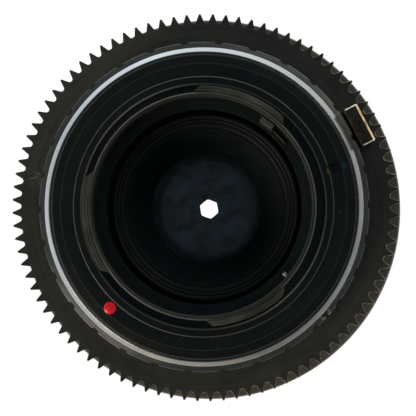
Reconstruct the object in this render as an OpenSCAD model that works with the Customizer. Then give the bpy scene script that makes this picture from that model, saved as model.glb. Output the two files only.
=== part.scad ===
// Cinema prime lens with a bayonet mount and a follow-focus gear.
// The optical axis is Z. The seat of the mount is at Z = 0 and the camera body is on its +Z side,
// so the lens stands on its front rim. The red index bead is on the -Y side.
// The radii run outwards from the bayonet sleeve, one wall or gap at a time.
// All sizes are in millimetres and all angles in degrees.

/* [Bayonet mount] */
// Outer diameter of the bayonet sleeve, from which every ring outside and inside it follows
sleeve_d = 42.4; // [39:0.1:46]
// Wall thickness of the sleeve
sleeve_wall = 0.9; // [0.8:0.05:1.1]
// Length of the sleeve behind the seat
sleeve_len = 5.4; // [4.5:0.1:7]
// How far a bayonet lug stands out of the sleeve
lug_reach = 1.2; // [1:0.05:1.9]
// Thickness of a lug
lug_thick = 1.6; // [1:0.1:2]
// Distance of a lug's face from the end of the sleeve
lug_setback = 0.25; // [0.1:0.05:0.6]
// How much shorter a lug is at its outer edge, at each end
lug_slant = 2; // [0.4:0.1:2.2]
// Width of the groove round the sleeve
groove_w = 1.8; // [1.6:0.1:2.6]
// Depth of that groove below the seat
groove_depth = 1.6; // [1:0.1:1.8]
// Width of the raised seat
seat_w = 1.7; // [1.1:0.1:1.9]
// Height of the seat above the bezel
seat_step = 0.6; // [0.5:0.05:0.7]
// Width of the bezel's flat part
flat_w = 2.45; // [1.9:0.05:2.6]
// Width of the bezel's sloping part
slope_w = 2; // [1.6:0.1:2.4]
// Fall of the bezel's sloping part
slope_fall = 0.4; // [0.2:0.05:0.5]
// Thickness of the bezel's rim, which carries the trim ring
bezel_rim = 1.25; // [1.15:0.05:1.4]
// Distance from the seat to the end of the fixed barrel
flange_thick = 2.6; // [2.4:0.1:3]
// Length of the skirt that enters the fixed barrel
skirt_len = 2; // [1.9:0.1:2.2]
// Length of the lock slot along the radius
lock_slot_len = 4.2; // [3:0.1:4.6]
// Width of the lock slot
lock_slot_w = 2; // [1.4:0.1:2.4]
// Depth of the lock slot below the bezel
lock_slot_depth = 1.2; // [0.6:0.1:1.3]
// Distance of the lock slot's middle from the seat's edge
lock_slot_out = 1.5; // [1.1:0.1:1.6]
// Diameter of the index bead
bead_d = 2.3; // [1.8:0.1:2.8]
// Radius of the bead's dome
bead_dome = 2.2; // [1.6:0.1:4]
// Depth of the bead's hole
bead_seat = 1; // [0.6:0.1:1.2]
// Distance of the bead's middle from the seat's edge
bead_out = 1.4; // [1.4:0.1:2.2]
// Diameter of the small pin in the sleeve's wall
sleeve_pin_d = 0.9; // [0.6:0.1:1.2]
// How far that pin stands out of the wall
sleeve_pin_out = 0.8; // [0.4:0.1:1]

/* [Trim ring] */
// Width of the polished trim ring
trim_w = 1.1; // [1.04:0.02:1.6]
// Width of its sloping edge
trim_bevel = 0.85; // [0.5:0.05:0.95]
// Height of its outer rim
trim_rim = 0.3; // [0.15:0.05:0.6]

/* [Aperture ring] */
// Wall thickness of the aperture ring
aperture_wall = 2.3; // [2.2:0.02:3]
// Length of the aperture ring along the axis
aperture_len = 6.25; // [5.6:0.05:7]
// Number of flutes
flute_count = 30; // [20:1:40]
// Radius of the round cutter of a flute
flute_cutter_r = 0.85; // [0.6:0.05:1.2]
// Depth of a flute
flute_depth = 0.5; // [0.3:0.05:0.6]
// Length of a flute from the rear face
flute_len = 3; // [2:0.1:3.4]
// Diameter of the assembly hole in the rear face
index_hole_d = 1; // [0.6:0.1:1.1]
// Depth of that hole
index_hole_depth = 1.2; // [1:0.1:1.5]
// Diameter of the hole's countersink
index_sink_d = 2.2; // [1.6:0.1:2.4]
// Turn from the photographed stop to the open iris
aperture_open = 40; // [32:1:44]
// Turn from the photographed stop to the smallest stop
aperture_close = 4; // [2:0.5:4]

/* [Fixed barrel] */
// How far the fixed barrel stays inside the bezel's edge
barrel_inset = 0.15; // [0.1:0.05:0.25]
// Wall thickness of the fixed barrel
barrel_wall = 1.8; // [1.6:0.1:2]
// Height of the shoulder between the two rings
shoulder_h = 2; // [1.5:0.1:2.3]
// Thickness of the shoulder
shoulder_thick = 1; // [0.9:0.05:1.2]
// Length of barrel inside the front barrel
barrel_tail = 9.85; // [8.8:0.05:10.5]
// How far the stop tab reaches past the aperture ring
stop_tab_reach = 1.2; // [1:0.1:1.4]
// Width of the stop tab
stop_tab_w = 3.5; // [2:0.1:4]
// Thickness of the stop tab
stop_tab_thick = 0.38; // [0.3:0.02:0.42]

/* [Focus gear] */
// Gear module
gear_module = 0.8; // [0.7:0.05:0.9]
// Thickness of the gear's rim under the teeth
gear_rim = 2.8; // [2.5:0.1:3.4]
// Face width of the gear
gear_face = 10.5; // [9:0.1:11.5]
// Width of a tooth's crest
gear_crest = 0.26; // [0.1:0.02:0.5]
// Radius of the round root between two teeth, in modules
gear_root_share = 0.775; // [0.5:0.025:0.825]
// Height of the gear's rear face above the focus ring
gear_lip = 0.85; // [0.75:0.05:1]
// Length of the stop block along the rim
block_len = 7.7; // [5:0.1:9]
// Width of the stop block along the radius
block_w = 2.7; // [2:0.1:3]
// Height of the stop block
block_h = 8; // [6:0.1:8.3]
// Distance of the stop block from the gear's bore
block_inset = 0.32; // [0.2:0.02:0.5]

/* [Focus ring] */
// Wall thickness of the focus ring at the seats for the gear and the grip
focus_wall = 3.94; // [3.5:0.02:4.4]
// Height of the scale band above those seats
band_h = 3.6; // [3.2:0.1:4]
// Length of the scale band
band_len = 6.9; // [6:0.1:8]
// Height of the rubber grip above its seat
grip_h = 3.9; // [3.4:0.1:4.3]
// Length of the rubber grip
grip_len = 7.1; // [6.4:0.1:9]
// Number of ribs on the grip
grip_ribs = 72; // [48:1:90]
// Depth between two ribs
grip_rib_depth = 0.8; // [0.4:0.1:1.2]
// Turn from the photographed focus to far
focus_far = 58; // [40:1:58]
// Turn from the photographed focus to near
focus_near = 102; // [80:1:104]
// Travel of the optic barrel over the whole turn
focus_travel = 9; // [8:0.1:9.4]
// Diameter of a cam pin
cam_pin_d = 2.6; // [2.2:0.1:2.8]
// Depth of the helical grooves in the bore
helix_depth = 2.2; // [1.6:0.1:2.6]
// Distance of the cam pins from the focus ring's rear end at the photographed focus
cam_pin_depth = 12.15; // [11:0.05:13]

/* [Front barrel] */
// Outer diameter of the front barrel, a matte-box clamp size
front_d = 80; // [76:0.5:95]
// Length of the front barrel
front_len = 23.85; // [23.5:0.05:27]
// Wall thickness at the crests of the filter thread
front_wall = 1.9; // [1.5:0.1:2.4]
// Depth of the filter thread
filter_depth = 5; // [4:0.1:6]
// Distance of the first turned line from the front rim
line_z = 7.63; // [7:0.01:9]
// Distance between two turned lines
line_pitch = 0.95; // [0.8:0.05:1.2]
// Width of a turned line
line_w = 0.7; // [0.4:0.05:0.75]
// Number of steps in the light trap
trap_steps = 5; // [3:1:8]

/* [Optics] */
// Gap between the rear cell's neck and the sleeve, in which the lever moves
neck_room = 2.1; // [1.9:0.05:2.4]
// Wall of the neck round the rear retaining ring
neck_wall = 2.7; // [2.2:0.1:3.2]
// Width of the ledge that the rear retaining ring screws down to
rear_ledge_w = 3.1; // [2.6:0.1:3.6]
// Width of the rear glass under its retaining ring
rear_cover_w = 1.5; // [1:0.1:1.8]
// Wall of the front cell round the front element
front_cell_wall = 2.58; // [2.3:0.02:3]
// Width of the front glass under its retaining ring
front_cover_w = 1; // [0.8:0.1:1.6]
// Depth of the rear cell's neck below the bezel's rim
neck_depth = 7.35; // [6.8:0.05:8]
// Length of the rear cell's neck
neck_len = 4; // [3.6:0.1:4.2]
// Length of the rear cell below its neck
rear_cell_len = 12.95; // [12.2:0.05:13.8]
// Length of the front cell inside the optic barrel
front_cell_len = 12.7; // [12.5:0.1:13]
// Thickness of the front cell's flange
front_flange = 2.6; // [2.4:0.1:2.8]

/* [Iris] */
// Distance of a blade's pivot from the plate's edge
pivot_inset = 4.98; // [4.8:0.02:5.4]
// Distance from a blade's pivot to its inner edge
blade_ear = 9; // [8.6:0.1:9.4]
// Width of a blade
blade_w = 7.2; // [6.8:0.1:7.4]
// Arc of a blade
blade_arc = 130; // [124:1:136]
// Thickness of a blade
blade_thick = 0.12; // [0.1:0.01:0.14]
// Distance between two blade layers
blade_pitch = 0.18; // [0.16:0.01:0.2]
// Distance from a blade's pivot to its cam pin
cam_arm = 4; // [3.6:0.1:4.3]
// Diameter of a blade's pins
blade_pin_d = 1; // [0.8:0.05:1.1]
// How far the cam ring reaches inside the pivots
cam_ring_lap = 0.7; // [0.5:0.05:1]
// Thickness of the cam ring
cam_thick = 2; // [1.8:0.1:2.2]
// Diameter of the pin that drives the cam ring
drive_pin_d = 1.2; // [1:0.05:1.35]
// Length of the drive arm's fork past the pin's travel
fork_over = 1.1; // [0.9:0.1:1.4]
// Opening across the flats at the photographed stop
rest_opening = 3.1; // [2.6:0.1:4]

/* [Stop-down lever] */
// Width of the lever's tab
tab_w = 2.9; // [1.6:0.1:4]
// Height of the tab above the lever ring
tab_h = 8; // [3:0.1:8.2]
// Turn of the lever
lever_turn = 28; // [15:1:30]
// Arc from the tab's middle to the end of the wire hook
hook_arc = 14; // [9:1:20]
// Height of the hook's end
hook_rise = 1.6; // [0.8:0.1:3]
// Diameter of the spring wire
spring_wire_d = 0.5; // [0.3:0.05:0.6]

/* [Fits] */
// Radial clearance of the turning and sliding fits
run_fit = 0.06; // [0.03:0.01:0.09]
// Clearance of the seated fits
seat_fit = 0.02; // [0.01:0.005:0.03]
// Clearance where two moving pieces only pass each other
pass_gap = 0.3; // [0.25:0.01:0.34]

/* [Hidden] */
$fn = 128;
// Extra length that lets a cut run past the face that it opens
over = 0.5;
// Length of the chamfers on turned edges
edge = 0.3;

// Places round the axis, as photographed
bead_a = 271.1;
lock_slot_a = 60;
lug_spans = [[86.6, 139.9], [204.7, 261], [314.1, 361.2]];
gear_phase = 2.36;
block_a = 71.4;
stop_tab_a = 2.4;
index_hole_a = 2.4;
sleeve_pin_a = 4.2;
flute_phase = 8.55;
pivot_phase = 9.45;
tab_a = 95.8;
third = [0, 120, 240];
cam_pin_a = 30;
key_a = 80;
arm_a = 320;
mount_screw_a = 0;
front_screw_a = 90;
gear_screw_a = 45;
retainer_screw_a = 15;

// Small gaps and plays
ring_gap = 0.1;
grip_gap = 0.2;
glass_fit = 0.05;
blade_gap = 0.05;
layer_gap = 0.15;
cam_play = 0.15;
key_play = 0.1;
helix_play = 0.25;
lever_play = 0.1;
leg_play = 0.2;
tab_gap = 0.15;
neck_gap = 0.45;
washer_gap = 0.025;

// Radii of the mount
sleeve_r = sleeve_d / 2;
well_r = sleeve_r - sleeve_wall;
lug_r = sleeve_r + lug_reach;
groove_r = sleeve_r + groove_w;
seat_r = groove_r + seat_w;
slope_r = seat_r + flat_w;
bezel_r = slope_r + slope_w;
trim_r = bezel_r + seat_fit + trim_w;
lock_slot_r = seat_r + lock_slot_out;
bead_r = seat_r + bead_out;

// Radii of the sleeves and rings that turn and slide in each other
barrel_r = bezel_r - barrel_inset;
barrel_bore_r = barrel_r - barrel_wall;
skirt_r = barrel_bore_r - seat_fit;
ring_bore_r = barrel_r + run_fit;
aperture_r = ring_bore_r + aperture_wall;
index_sink = (index_sink_d - index_hole_d) / 2;
shoulder_r = barrel_r + shoulder_h;
optic_wall = 2.54;
optic_r = barrel_bore_r - run_fit;
optic_bore_r = optic_r - optic_wall;
cell_r = optic_bore_r - seat_fit;
focus_seat_r = ring_bore_r + focus_wall;
band_r = focus_seat_r + band_h;
grip_r = focus_seat_r + grip_h;
front_r = front_d / 2;
filter_r = front_r - front_wall;
front_bore_r = optic_r + run_fit + pass_gap;

// Stations along the axis, from the sleeve's end to the front rim
washer_thick = 0.4;
sleeve_pin_z = sleeve_len / 3;
bezel_z = -seat_step;
rim_z = bezel_z - bezel_rim;
flange_z = -flange_thick;
skirt_z = flange_z - skirt_len;
aperture_z = rim_z - ring_gap;
aperture_end_z = aperture_z - aperture_len;
shoulder_z = aperture_end_z - 2 * ring_gap;
shoulder_end_z = shoulder_z - shoulder_thick;
focus_z = shoulder_end_z - washer_thick - 2 * washer_gap;
gear_z = focus_z + gear_lip;
band_z = gear_z - gear_face;
grip_z = band_z - band_len;
focus_end_z = grip_z - grip_len - grip_gap;
front_z = focus_end_z - washer_thick - 2 * washer_gap;
barrel_end_z = front_z - barrel_tail;
front_rim_z = front_z - front_len;

// Gear tooth, measured on the transverse plane
addendum = 1;
dedendum = 1.25;
gear_teeth = round(2 * (focus_seat_r + gear_rim) / gear_module + 2 * dedendum);
gear_root_r = gear_module * (gear_teeth / 2 - dedendum);
gear_tip_r = gear_module * (gear_teeth / 2 + addendum);
gear_pitch_a = 360 / gear_teeth;
gear_root_round = gear_root_share * gear_module;
root_turn = 75;
root_points = 6;
root_centre_r = gear_root_r + gear_root_round;
gear_lip_r = aperture_r + pass_gap;

// Screws
socket_depth = 0.8;
socket_share = 0.55;
screw_sink = 0.2;
mount_screw_d = 1.6;
mount_screw_bite = 1.6;
mount_screw_z = (flange_z + skirt_z) / 2;
mount_screw_in_r = skirt_r - mount_screw_bite;
gear_screw_d = 1.6;
gear_screw_r = (focus_seat_r + gear_root_r) / 2;
gear_screw_bite = 4;
gear_head_d = 2.4;
gear_head_h = 1.2;
front_screw_d = 2.5;
front_screw_z = (front_z + barrel_end_z) / 2;
front_screw_bite = 0.8;
front_screw_in_r = barrel_r - front_screw_bite;
front_screw_len = 7;

// Focus drive
focus_turn = focus_far + focus_near;
helix_rate = focus_travel / focus_turn;
helix_w = cam_pin_d + 2 * helix_play;
travel_out = focus_near * helix_rate;
travel_in = focus_far * helix_rate;
pin_rest_z = focus_z - cam_pin_depth;
guide_w = cam_pin_d + 2 * run_fit;
guide_end = cam_pin_d / 2 + pass_gap;
cam_stem_d = 0.7 * cam_pin_d;

// Stations of the optic unit at the photographed focus
barrel_over = 1;
ledge_depth = 3.1;
lip_depth = 1.1;
lip_w = 0.95;
ring_sink = 0.5;
cell_neck_z = rim_z - neck_depth;
cell_step_z = cell_neck_z - neck_len;
optic_z = cell_step_z + barrel_over;
rear_ledge_z = cell_step_z - ledge_depth;
rear_lip_z = rear_ledge_z - lip_depth;
cell_end_z = cell_step_z - rear_cell_len;

// Rear group
rear_neck_r = well_r - neck_room;
rear_retainer_r = rear_neck_r - neck_wall;
rear_glass_r = rear_retainer_r - rear_ledge_w;
rear_clear_r = rear_glass_r - rear_cover_w;
rear_bore_r = rear_glass_r + glass_fit;
rear_bend = 45;
rear_back_bend = 90;
inner_bend = 70;
rear_edge = 2;
spacer_len = 1;
spacer_w = 0.9;
rear_rim_z = rear_lip_z - seat_fit + sag(rear_bend, rear_clear_r) - sag(rear_bend, rear_glass_r);
rear_back_z = rear_rim_z - rear_edge;
inner_rim_z = rear_back_z - spacer_len;
inner_back_z = cell_end_z + lip_w + seat_fit;

// Layers of the iris
cover_thick = 1;
plate_thick = 1.3;
web_thick = 1.2;
cover_z = cell_end_z - blade_gap;
cam_z = cover_z - cover_thick - layer_gap;
blade_top_z = cam_z - cam_thick - layer_gap;
plate_z = blade_top_z - 5 * blade_pitch - blade_thick - 2 * blade_gap;
web_z = plate_z - plate_thick;
front_cell_z = web_z - web_thick - 2 * blade_gap;
optic_end_z = front_cell_z - front_cell_len;
flange_end_z = optic_end_z - front_flange;

// Front group
second_step = 3;
third_step = 7;
front_lip = 1.4;
third_len = 4.2;
second_len = 4.4;
first_len = 3.4;
front_ring_w = 1.6;
front_edge = 2;
second_edge = 3.4;
front_bend = 60;
front_back_bend = 140;
second_bend = 90;
second_back_bend = 60;
third_bend = 120;
front_glass_r = cell_r - front_cell_wall;
front_clear_r = front_glass_r - front_cover_w;
front_ring_r = front_glass_r + front_ring_w;
second_r = front_glass_r - second_step;
third_r = front_glass_r - third_step;
third_seat_z = front_cell_z - front_lip;
second_seat_z = third_seat_z - third_len;
first_seat_z = second_seat_z - second_len;
front_ring_seat_z = first_seat_z - first_len;
front_edge_z = first_seat_z - seat_fit - front_edge;
front_face_z = front_edge_z - sag(front_bend, front_glass_r) + sag(front_bend, front_clear_r) - seat_fit;
second_edge_z = second_seat_z - seat_fit - second_edge;

// Iris drive
pivot_r = cell_r - pivot_inset;
blade_inner_r = pivot_r - blade_ear;
blade_outer_r = blade_inner_r + blade_w;
blade_turn = 2 * asin((blade_inner_r - rest_opening / 2) / (2 * pivot_r));
blade_rate = blade_turn / aperture_open;
blade_lead = 3;
blade_steps = 8;
blade_foot = 1;
ear_r = 1.5;
tail_r = 1.1;
web_step = 2.4;
web_in_r = blade_inner_r + web_step;
cam_arm_a = -60;
cam_step = 0.1;
cam_steps = 24;
cam_over = 1;
blade_pin_r = blade_pin_d / 2;
cam_slot_r = blade_pin_r + cam_play;
cam_ring_r = optic_bore_r - pass_gap;
cam_ring_in_r = pivot_r - cam_ring_lap;
drive_pin_z = cam_z - cam_thick / 2;
drive_pin_hold = 1.2;
key_d = 1.6;
key_depth = 4.55;
key_z = aperture_z - key_depth;
drive_wall = 1.55;
drive_half = 1.1;
drive_ring_r = barrel_bore_r - key_play;
drive_ring_in_r = drive_ring_r - drive_wall;
arm_half_a = 4.5;
relief_over_a = 1;
fork_bridge = 1;
relief_r = drive_ring_in_r - pass_gap;
fork_z = drive_pin_z + travel_in + fork_over;
fork_end_z = drive_pin_z - travel_out - fork_over;
arm_end_z = fork_end_z - fork_bridge;
relief_end_z = arm_end_z - travel_in - pass_gap;

// Lever
lever_room = 1.7;
lever_room_h = 1.7;
lever_thick = 1.4;
lever_lap = 0.4;
tab_thick = 1.05;
lever_room_r = well_r + lever_room;
lever_room_z = skirt_z + lever_room_h;
lever_r = well_r + lever_lap;
lever_in_r = rear_neck_r + neck_gap;
lever_z = lever_room_z - lever_play;
tab_out_r = well_r - tab_gap;
tab_in_r = tab_out_r - tab_thick;
spring_r = (lever_r + lever_room_r) / 2;
spring_z = lever_z - lever_thick / 2;
spring_arc = 300;
spring_lead = 60;
spring_fixed_a = tab_a + spring_lead;
spring_free_a = spring_fixed_a - spring_arc;
spring_leg = 0.8;
leg_reach = 0.9;
leg_d = 0.9 * spring_wire_d;
retainer_thick = 0.7;
retainer_z = skirt_z - seat_fit;
retainer_screw_d = 1.2;
retainer_screw_len = 1.4;
retainer_head_d = 2.1;
retainer_head_h = 0.6;
retainer_screw_r = lever_room_r + 2 * retainer_screw_d;

// Inside of the front barrel
trap_web = 2;
trap_floor = 1.2;
trap_rim = 0.9;
filter_step = 1.2;
front_shoulder_z = barrel_end_z - seat_fit;
trap_z = front_shoulder_z - trap_web;
trap_end_z = front_rim_z + filter_depth;
trap_r = filter_r - filter_step;

// Sub-part to draw, or all of them

// Body of revolution from a profile of [radius, height] points.
module turned(profile) {
    rotate_extrude() polygon(profile);
}

// Block between two radii, two heights and two angles.
module arc_block(r0, r1, z0, z1, a0, a1) {
    rotate([0, 0, a0])
        rotate_extrude(angle = a1 - a0)
            polygon([[r0, z0], [r1, z0], [r1, z1], [r0, z1]]);
}

// Cylinder that points away from the axis.
module radial_rod(r0, r1, d, z, a) {
    rotate([0, 0, a])
        translate([r0, 0, z])
            rotate([0, 90, 0])
                cylinder(d = d, h = r1 - r0);
}

// Depth of a spherical face of radius bend at distance r from its middle.
function sag(bend, r) = bend - sqrt(bend * bend - r * r);

// Glass element between two rim heights. A positive bend is a bulging face, a negative one a hollow face.
module lens(rim_r, top_z, bottom_z, top_bend, bottom_bend) {
    top_sag = sag(abs(top_bend), rim_r);
    bottom_sag = sag(abs(bottom_bend), rim_r);
    difference() {
        intersection() {
            translate([0, 0, bottom_z - (bottom_bend > 0 ? bottom_sag : 0)])
                cylinder(r = rim_r, h = top_z - bottom_z + (top_bend > 0 ? top_sag : 0)
                    + (bottom_bend > 0 ? bottom_sag : 0));
            if (top_bend > 0) translate([0, 0, top_z + top_sag - top_bend]) sphere(r = top_bend, $fn = 256);
            if (bottom_bend > 0)
                translate([0, 0, bottom_z - bottom_sag + bottom_bend]) sphere(r = bottom_bend, $fn = 256);
        }
        if (top_bend < 0) translate([0, 0, top_z - top_sag - top_bend]) sphere(r = -top_bend, $fn = 256);
        if (bottom_bend < 0)
            translate([0, 0, bottom_z + bottom_sag + bottom_bend]) sphere(r = -bottom_bend, $fn = 256);
    }
}

// Mount

// One bayonet lug, longer at its root than at its outer edge.
module lug(span) {
    face_z = sleeve_len - lug_setback;
    root_r = sleeve_r - sleeve_wall / 2;
    slant_a = lug_slant / lug_r * 180 / PI;
    span_a = span[1] - span[0] - 2 * slant_a;
    steps = 6;
    outline = concat([[root_r - over, span[0]]],
        [for (i = [0:steps]) [lug_r + 2 * over, span[0] + slant_a + span_a * i / steps]],
        [[root_r - over, span[1]]]);
    intersection() {
        arc_block(root_r, lug_r, face_z - lug_thick, face_z, span[0] - slant_a, span[1] + slant_a);
        linear_extrude(height = sleeve_len) polygon([for (p = outline) p[0] * [cos(p[1]), sin(p[1])]]);
    }
}

module lock_slot() {
    half = (lock_slot_len - lock_slot_w) / 2;
    rotate([0, 0, lock_slot_a])
        translate([lock_slot_r, 0, bezel_z - lock_slot_depth])
            linear_extrude(height = lock_slot_depth + seat_step + over) {
                square([2 * half, lock_slot_w], center = true);
                for (s = [-1, 1]) translate([s * half, 0]) circle(d = lock_slot_w);
            }
}

module bayonet_mount() {
    color([0.10, 0.10, 0.11])
        difference() {
            union() {
                turned([[lever_room_r, skirt_z], [lever_room_r, lever_room_z], [well_r, lever_room_z],
                    [well_r, sleeve_len - edge], [well_r + edge, sleeve_len], [sleeve_r - edge, sleeve_len],
                    [sleeve_r, sleeve_len - edge], [sleeve_r, -groove_depth], [groove_r, -groove_depth],
                    [groove_r, -edge], [groove_r + edge, 0], [seat_r, 0], [seat_r, bezel_z],
                    [slope_r, bezel_z], [bezel_r, bezel_z - slope_fall], [bezel_r, rim_z],
                    [barrel_r - pass_gap, rim_z], [barrel_r - pass_gap, flange_z], [skirt_r, flange_z],
                    [skirt_r, skirt_z]]);
                for (span = lug_spans) lug(span);
            }
            lock_slot();
            rotate([0, 0, bead_a])
                translate([bead_r, 0, bezel_z - bead_seat])
                    cylinder(d = bead_d + 2 * seat_fit, h = bead_seat + over);
            for (a = third)
                radial_rod(mount_screw_in_r - over, skirt_r + over, mount_screw_d, mount_screw_z,
                    mount_screw_a + a);
            for (a = third)
                rotate([0, 0, retainer_screw_a + a])
                    translate([retainer_screw_r, 0, skirt_z - over])
                        cylinder(d = retainer_screw_d, h = over + retainer_screw_len);
            radial_rod(well_r - over, sleeve_r - ring_gap + seat_fit, sleeve_pin_d + 2 * seat_fit,
                sleeve_pin_z,
                sleeve_pin_a);
            radial_rod(lever_room_r - over, lever_room_r + spring_leg + seat_fit,
                spring_wire_d + 2 * seat_fit,
                spring_z, spring_fixed_a);
        }
}

module mount_trim_ring() {
    bore_r = bezel_r + seat_fit;
    top_z = bezel_z - slope_fall + ring_gap;
    color([0.80, 0.81, 0.83])
        turned([[bore_r, rim_z], [trim_r, rim_z], [trim_r, rim_z + trim_rim],
            [trim_r - trim_bevel, top_z], [bore_r, top_z]]);
}

module index_bead() {
    top_z = -blade_gap;
    color([0.75, 0.04, 0.05])
        rotate([0, 0, bead_a])
            translate([bead_r, 0, 0])
                intersection() {
                    translate([0, 0, bezel_z - bead_seat])
                        cylinder(d = bead_d, h = top_z - bezel_z + bead_seat);
                    translate([0, 0, top_z - bead_dome]) sphere(r = bead_dome);
                }
}

module mount_screws() {
    head_r = barrel_r - screw_sink;
    color([0.35, 0.35, 0.37])
        for (a = third)
            difference() {
                radial_rod(mount_screw_in_r, head_r, mount_screw_d - 2 * seat_fit, mount_screw_z,
                    mount_screw_a + a);
                radial_rod(head_r - socket_depth, head_r + over, socket_share * mount_screw_d, mount_screw_z,
                    mount_screw_a + a, $fn = 6);
            }
}

module sleeve_pin() {
    color([0.60, 0.60, 0.61])
        radial_rod(well_r - sleeve_pin_out, sleeve_r - ring_gap, sleeve_pin_d, sleeve_pin_z, sleeve_pin_a);
}

// Aperture ring and its drive

module aperture_ring() {
    color([0.16, 0.16, 0.17])
        difference() {
            turned([[ring_bore_r, aperture_end_z], [aperture_r - edge, aperture_end_z],
                [aperture_r, aperture_end_z + edge],
                [aperture_r, aperture_z - edge], [aperture_r - edge, aperture_z], [ring_bore_r, aperture_z]]);
            for (i = [0:flute_count - 1])
                rotate([0, 0, flute_phase + i * 360 / flute_count])
                    translate([aperture_r - flute_depth + flute_cutter_r, 0, aperture_z - flute_len])
                        cylinder(r = flute_cutter_r, h = flute_len + over);
            for (a = third) radial_rod(ring_bore_r - over, aperture_r + over, key_d, key_z, key_a + a);
            rotate([0, 0, index_hole_a])
                translate([aperture_r - index_hole_d / 2 - ring_gap, 0, aperture_z]) {
                    translate([0, 0, -index_hole_depth])
                        cylinder(d = index_hole_d, h = index_hole_depth + over);
                    translate([0, 0, -index_sink])
                        cylinder(d1 = index_hole_d, d2 = index_sink_d + 2 * over, h = index_sink + over);
                }
        }
}

module aperture_keys() {
    head_r = aperture_r - screw_sink;
    color([0.30, 0.30, 0.32])
        for (a = third)
            difference() {
                radial_rod(drive_ring_in_r + key_play, head_r, key_d - 2 * seat_fit, key_z, key_a + a);
                radial_rod(head_r - socket_depth, head_r + over, socket_share * key_d, key_z, key_a + a,
                    $fn = 6);
            }
}

module iris_drive_ring() {
    color([0.62, 0.52, 0.30])
        difference() {
            union() {
                turned([[drive_ring_in_r, key_z - drive_half], [drive_ring_r, key_z - drive_half],
                    [drive_ring_r, key_z + drive_half], [drive_ring_in_r, key_z + drive_half]]);
                arc_block(drive_ring_in_r + seat_fit, drive_ring_r - seat_fit, arm_end_z, key_z,
                    arm_a - arm_half_a,
                    arm_a + arm_half_a);
            }
            for (a = third) radial_rod(drive_ring_in_r - over, drive_ring_r + over, key_d, key_z, key_a + a);
            rotate([0, 0, arm_a])
                translate([drive_ring_in_r - over, -(drive_pin_d / 2 + run_fit), fork_end_z])
                    cube([barrel_wall + 2 * over, drive_pin_d + 2 * run_fit, fork_z - fork_end_z]);
        }
}

// Fixed barrel

module fixed_barrel() {
    key_slot_w = key_d + 2 * key_play;
    key_slot_end_a = (key_d / 2 + 2 * key_play) / barrel_bore_r * 180 / PI;
    color([0.20, 0.20, 0.21])
        difference() {
            turned([[barrel_bore_r, barrel_end_z], [barrel_r, barrel_end_z], [barrel_r, shoulder_end_z],
                [shoulder_r, shoulder_end_z], [shoulder_r, shoulder_z], [barrel_r, shoulder_z],
                [barrel_r, flange_z], [barrel_bore_r, flange_z]]);
            for (a = third) {
                arc_block(barrel_bore_r - over, barrel_r + over, key_z - key_slot_w / 2,
                    key_z + key_slot_w / 2,
                    key_a + a - aperture_close - key_slot_end_a, key_a + a + aperture_open + key_slot_end_a);
                rotate([0, 0, cam_pin_a + a])
                    translate([barrel_bore_r - over, -guide_w / 2, pin_rest_z - travel_out - guide_end])
                        cube([barrel_wall + 2 * over, guide_w, travel_out + travel_in + 2 * guide_end]);
                radial_rod(barrel_bore_r - over, barrel_r + over, mount_screw_d, mount_screw_z,
                    mount_screw_a + a);
                radial_rod(front_screw_in_r, barrel_r + over, front_screw_d, front_screw_z,
                    front_screw_a + a);
            }
            stop_tab_cut(seat_fit);
        }
}

// Shape of the stop tab, grown by a clearance for the seat that it lies in.
module stop_tab_cut(grow) {
    root_r = barrel_r + 2 * ring_gap;
    rotate([0, 0, stop_tab_a])
        translate([root_r - grow, -stop_tab_w / 2 - grow, shoulder_z - seat_fit - stop_tab_thick - grow])
            cube([aperture_r + stop_tab_reach - root_r + 2 * grow, stop_tab_w + 2 * grow,
                stop_tab_thick + grow + (grow > 0 ? over : 0)]);
}

module focus_stop_tab() {
    color([0.55, 0.55, 0.56]) stop_tab_cut(0);
}

module rear_thrust_washer() {
    color([0.88, 0.87, 0.83])
        turned([[barrel_r + run_fit, shoulder_end_z - washer_gap - washer_thick],
            [shoulder_r - ring_gap, shoulder_end_z - washer_gap - washer_thick],
            [shoulder_r - ring_gap, shoulder_end_z - washer_gap],
            [barrel_r + run_fit, shoulder_end_z - washer_gap]]);
}

module front_thrust_washer() {
    color([0.88, 0.87, 0.83])
        turned([[barrel_r + run_fit, front_z + washer_gap], [focus_seat_r - grip_gap, front_z + washer_gap],
            [focus_seat_r - grip_gap, front_z + washer_gap + washer_thick],
            [barrel_r + run_fit, front_z + washer_gap + washer_thick]]);
}

// Focus ring and the gear on it

// One helical groove, for a cam pin that stands at angle a when the focus is as photographed.
module helix_cut(a) {
    low_z = pin_rest_z - travel_out - helix_w / 2;
    high_z = pin_rest_z + travel_in + helix_w / 2;
    half_a = helix_w / 2 / helix_rate;
    steps = 8;
    translate([0, 0, low_z])
        rotate([0, 0, a + (low_z - pin_rest_z) / helix_rate])
            linear_extrude(height = high_z - low_z, twist = -(high_z - low_z) / helix_rate, slices = 48,
                $fn = 18)
                polygon(concat(
                    [for (i = [0:steps]) let (q = half_a * (2 * i / steps - 1))
                        (ring_bore_r + helix_depth) * [cos(q), sin(q)]],
                    [for (i = [steps:-1:0]) let (q = half_a * (2 * i / steps - 1))
                        (ring_bore_r - 2 * over) * [cos(q), sin(q)]]));
}

module focus_ring() {
    color([0.17, 0.17, 0.18])
        difference() {
            turned([[ring_bore_r, focus_end_z], [focus_seat_r, focus_end_z], [focus_seat_r, grip_z],
                [band_r - edge, grip_z], [band_r, grip_z + edge], [band_r, band_z - edge],
                [band_r - edge, band_z], [focus_seat_r, band_z], [focus_seat_r, focus_z],
                [ring_bore_r, focus_z]]);
            for (a = third) helix_cut(cam_pin_a + a);
            for (a = [0:90:270])
                rotate([0, 0, gear_screw_a + a]) {
                    translate([gear_screw_r, 0, grip_z - over]) {
                        cylinder(d = gear_screw_d, h = band_len + 2 * over);
                        cylinder(d = gear_head_d + 2 * key_play, h = gear_head_h + over);
                    }
                }
        }
}

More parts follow.
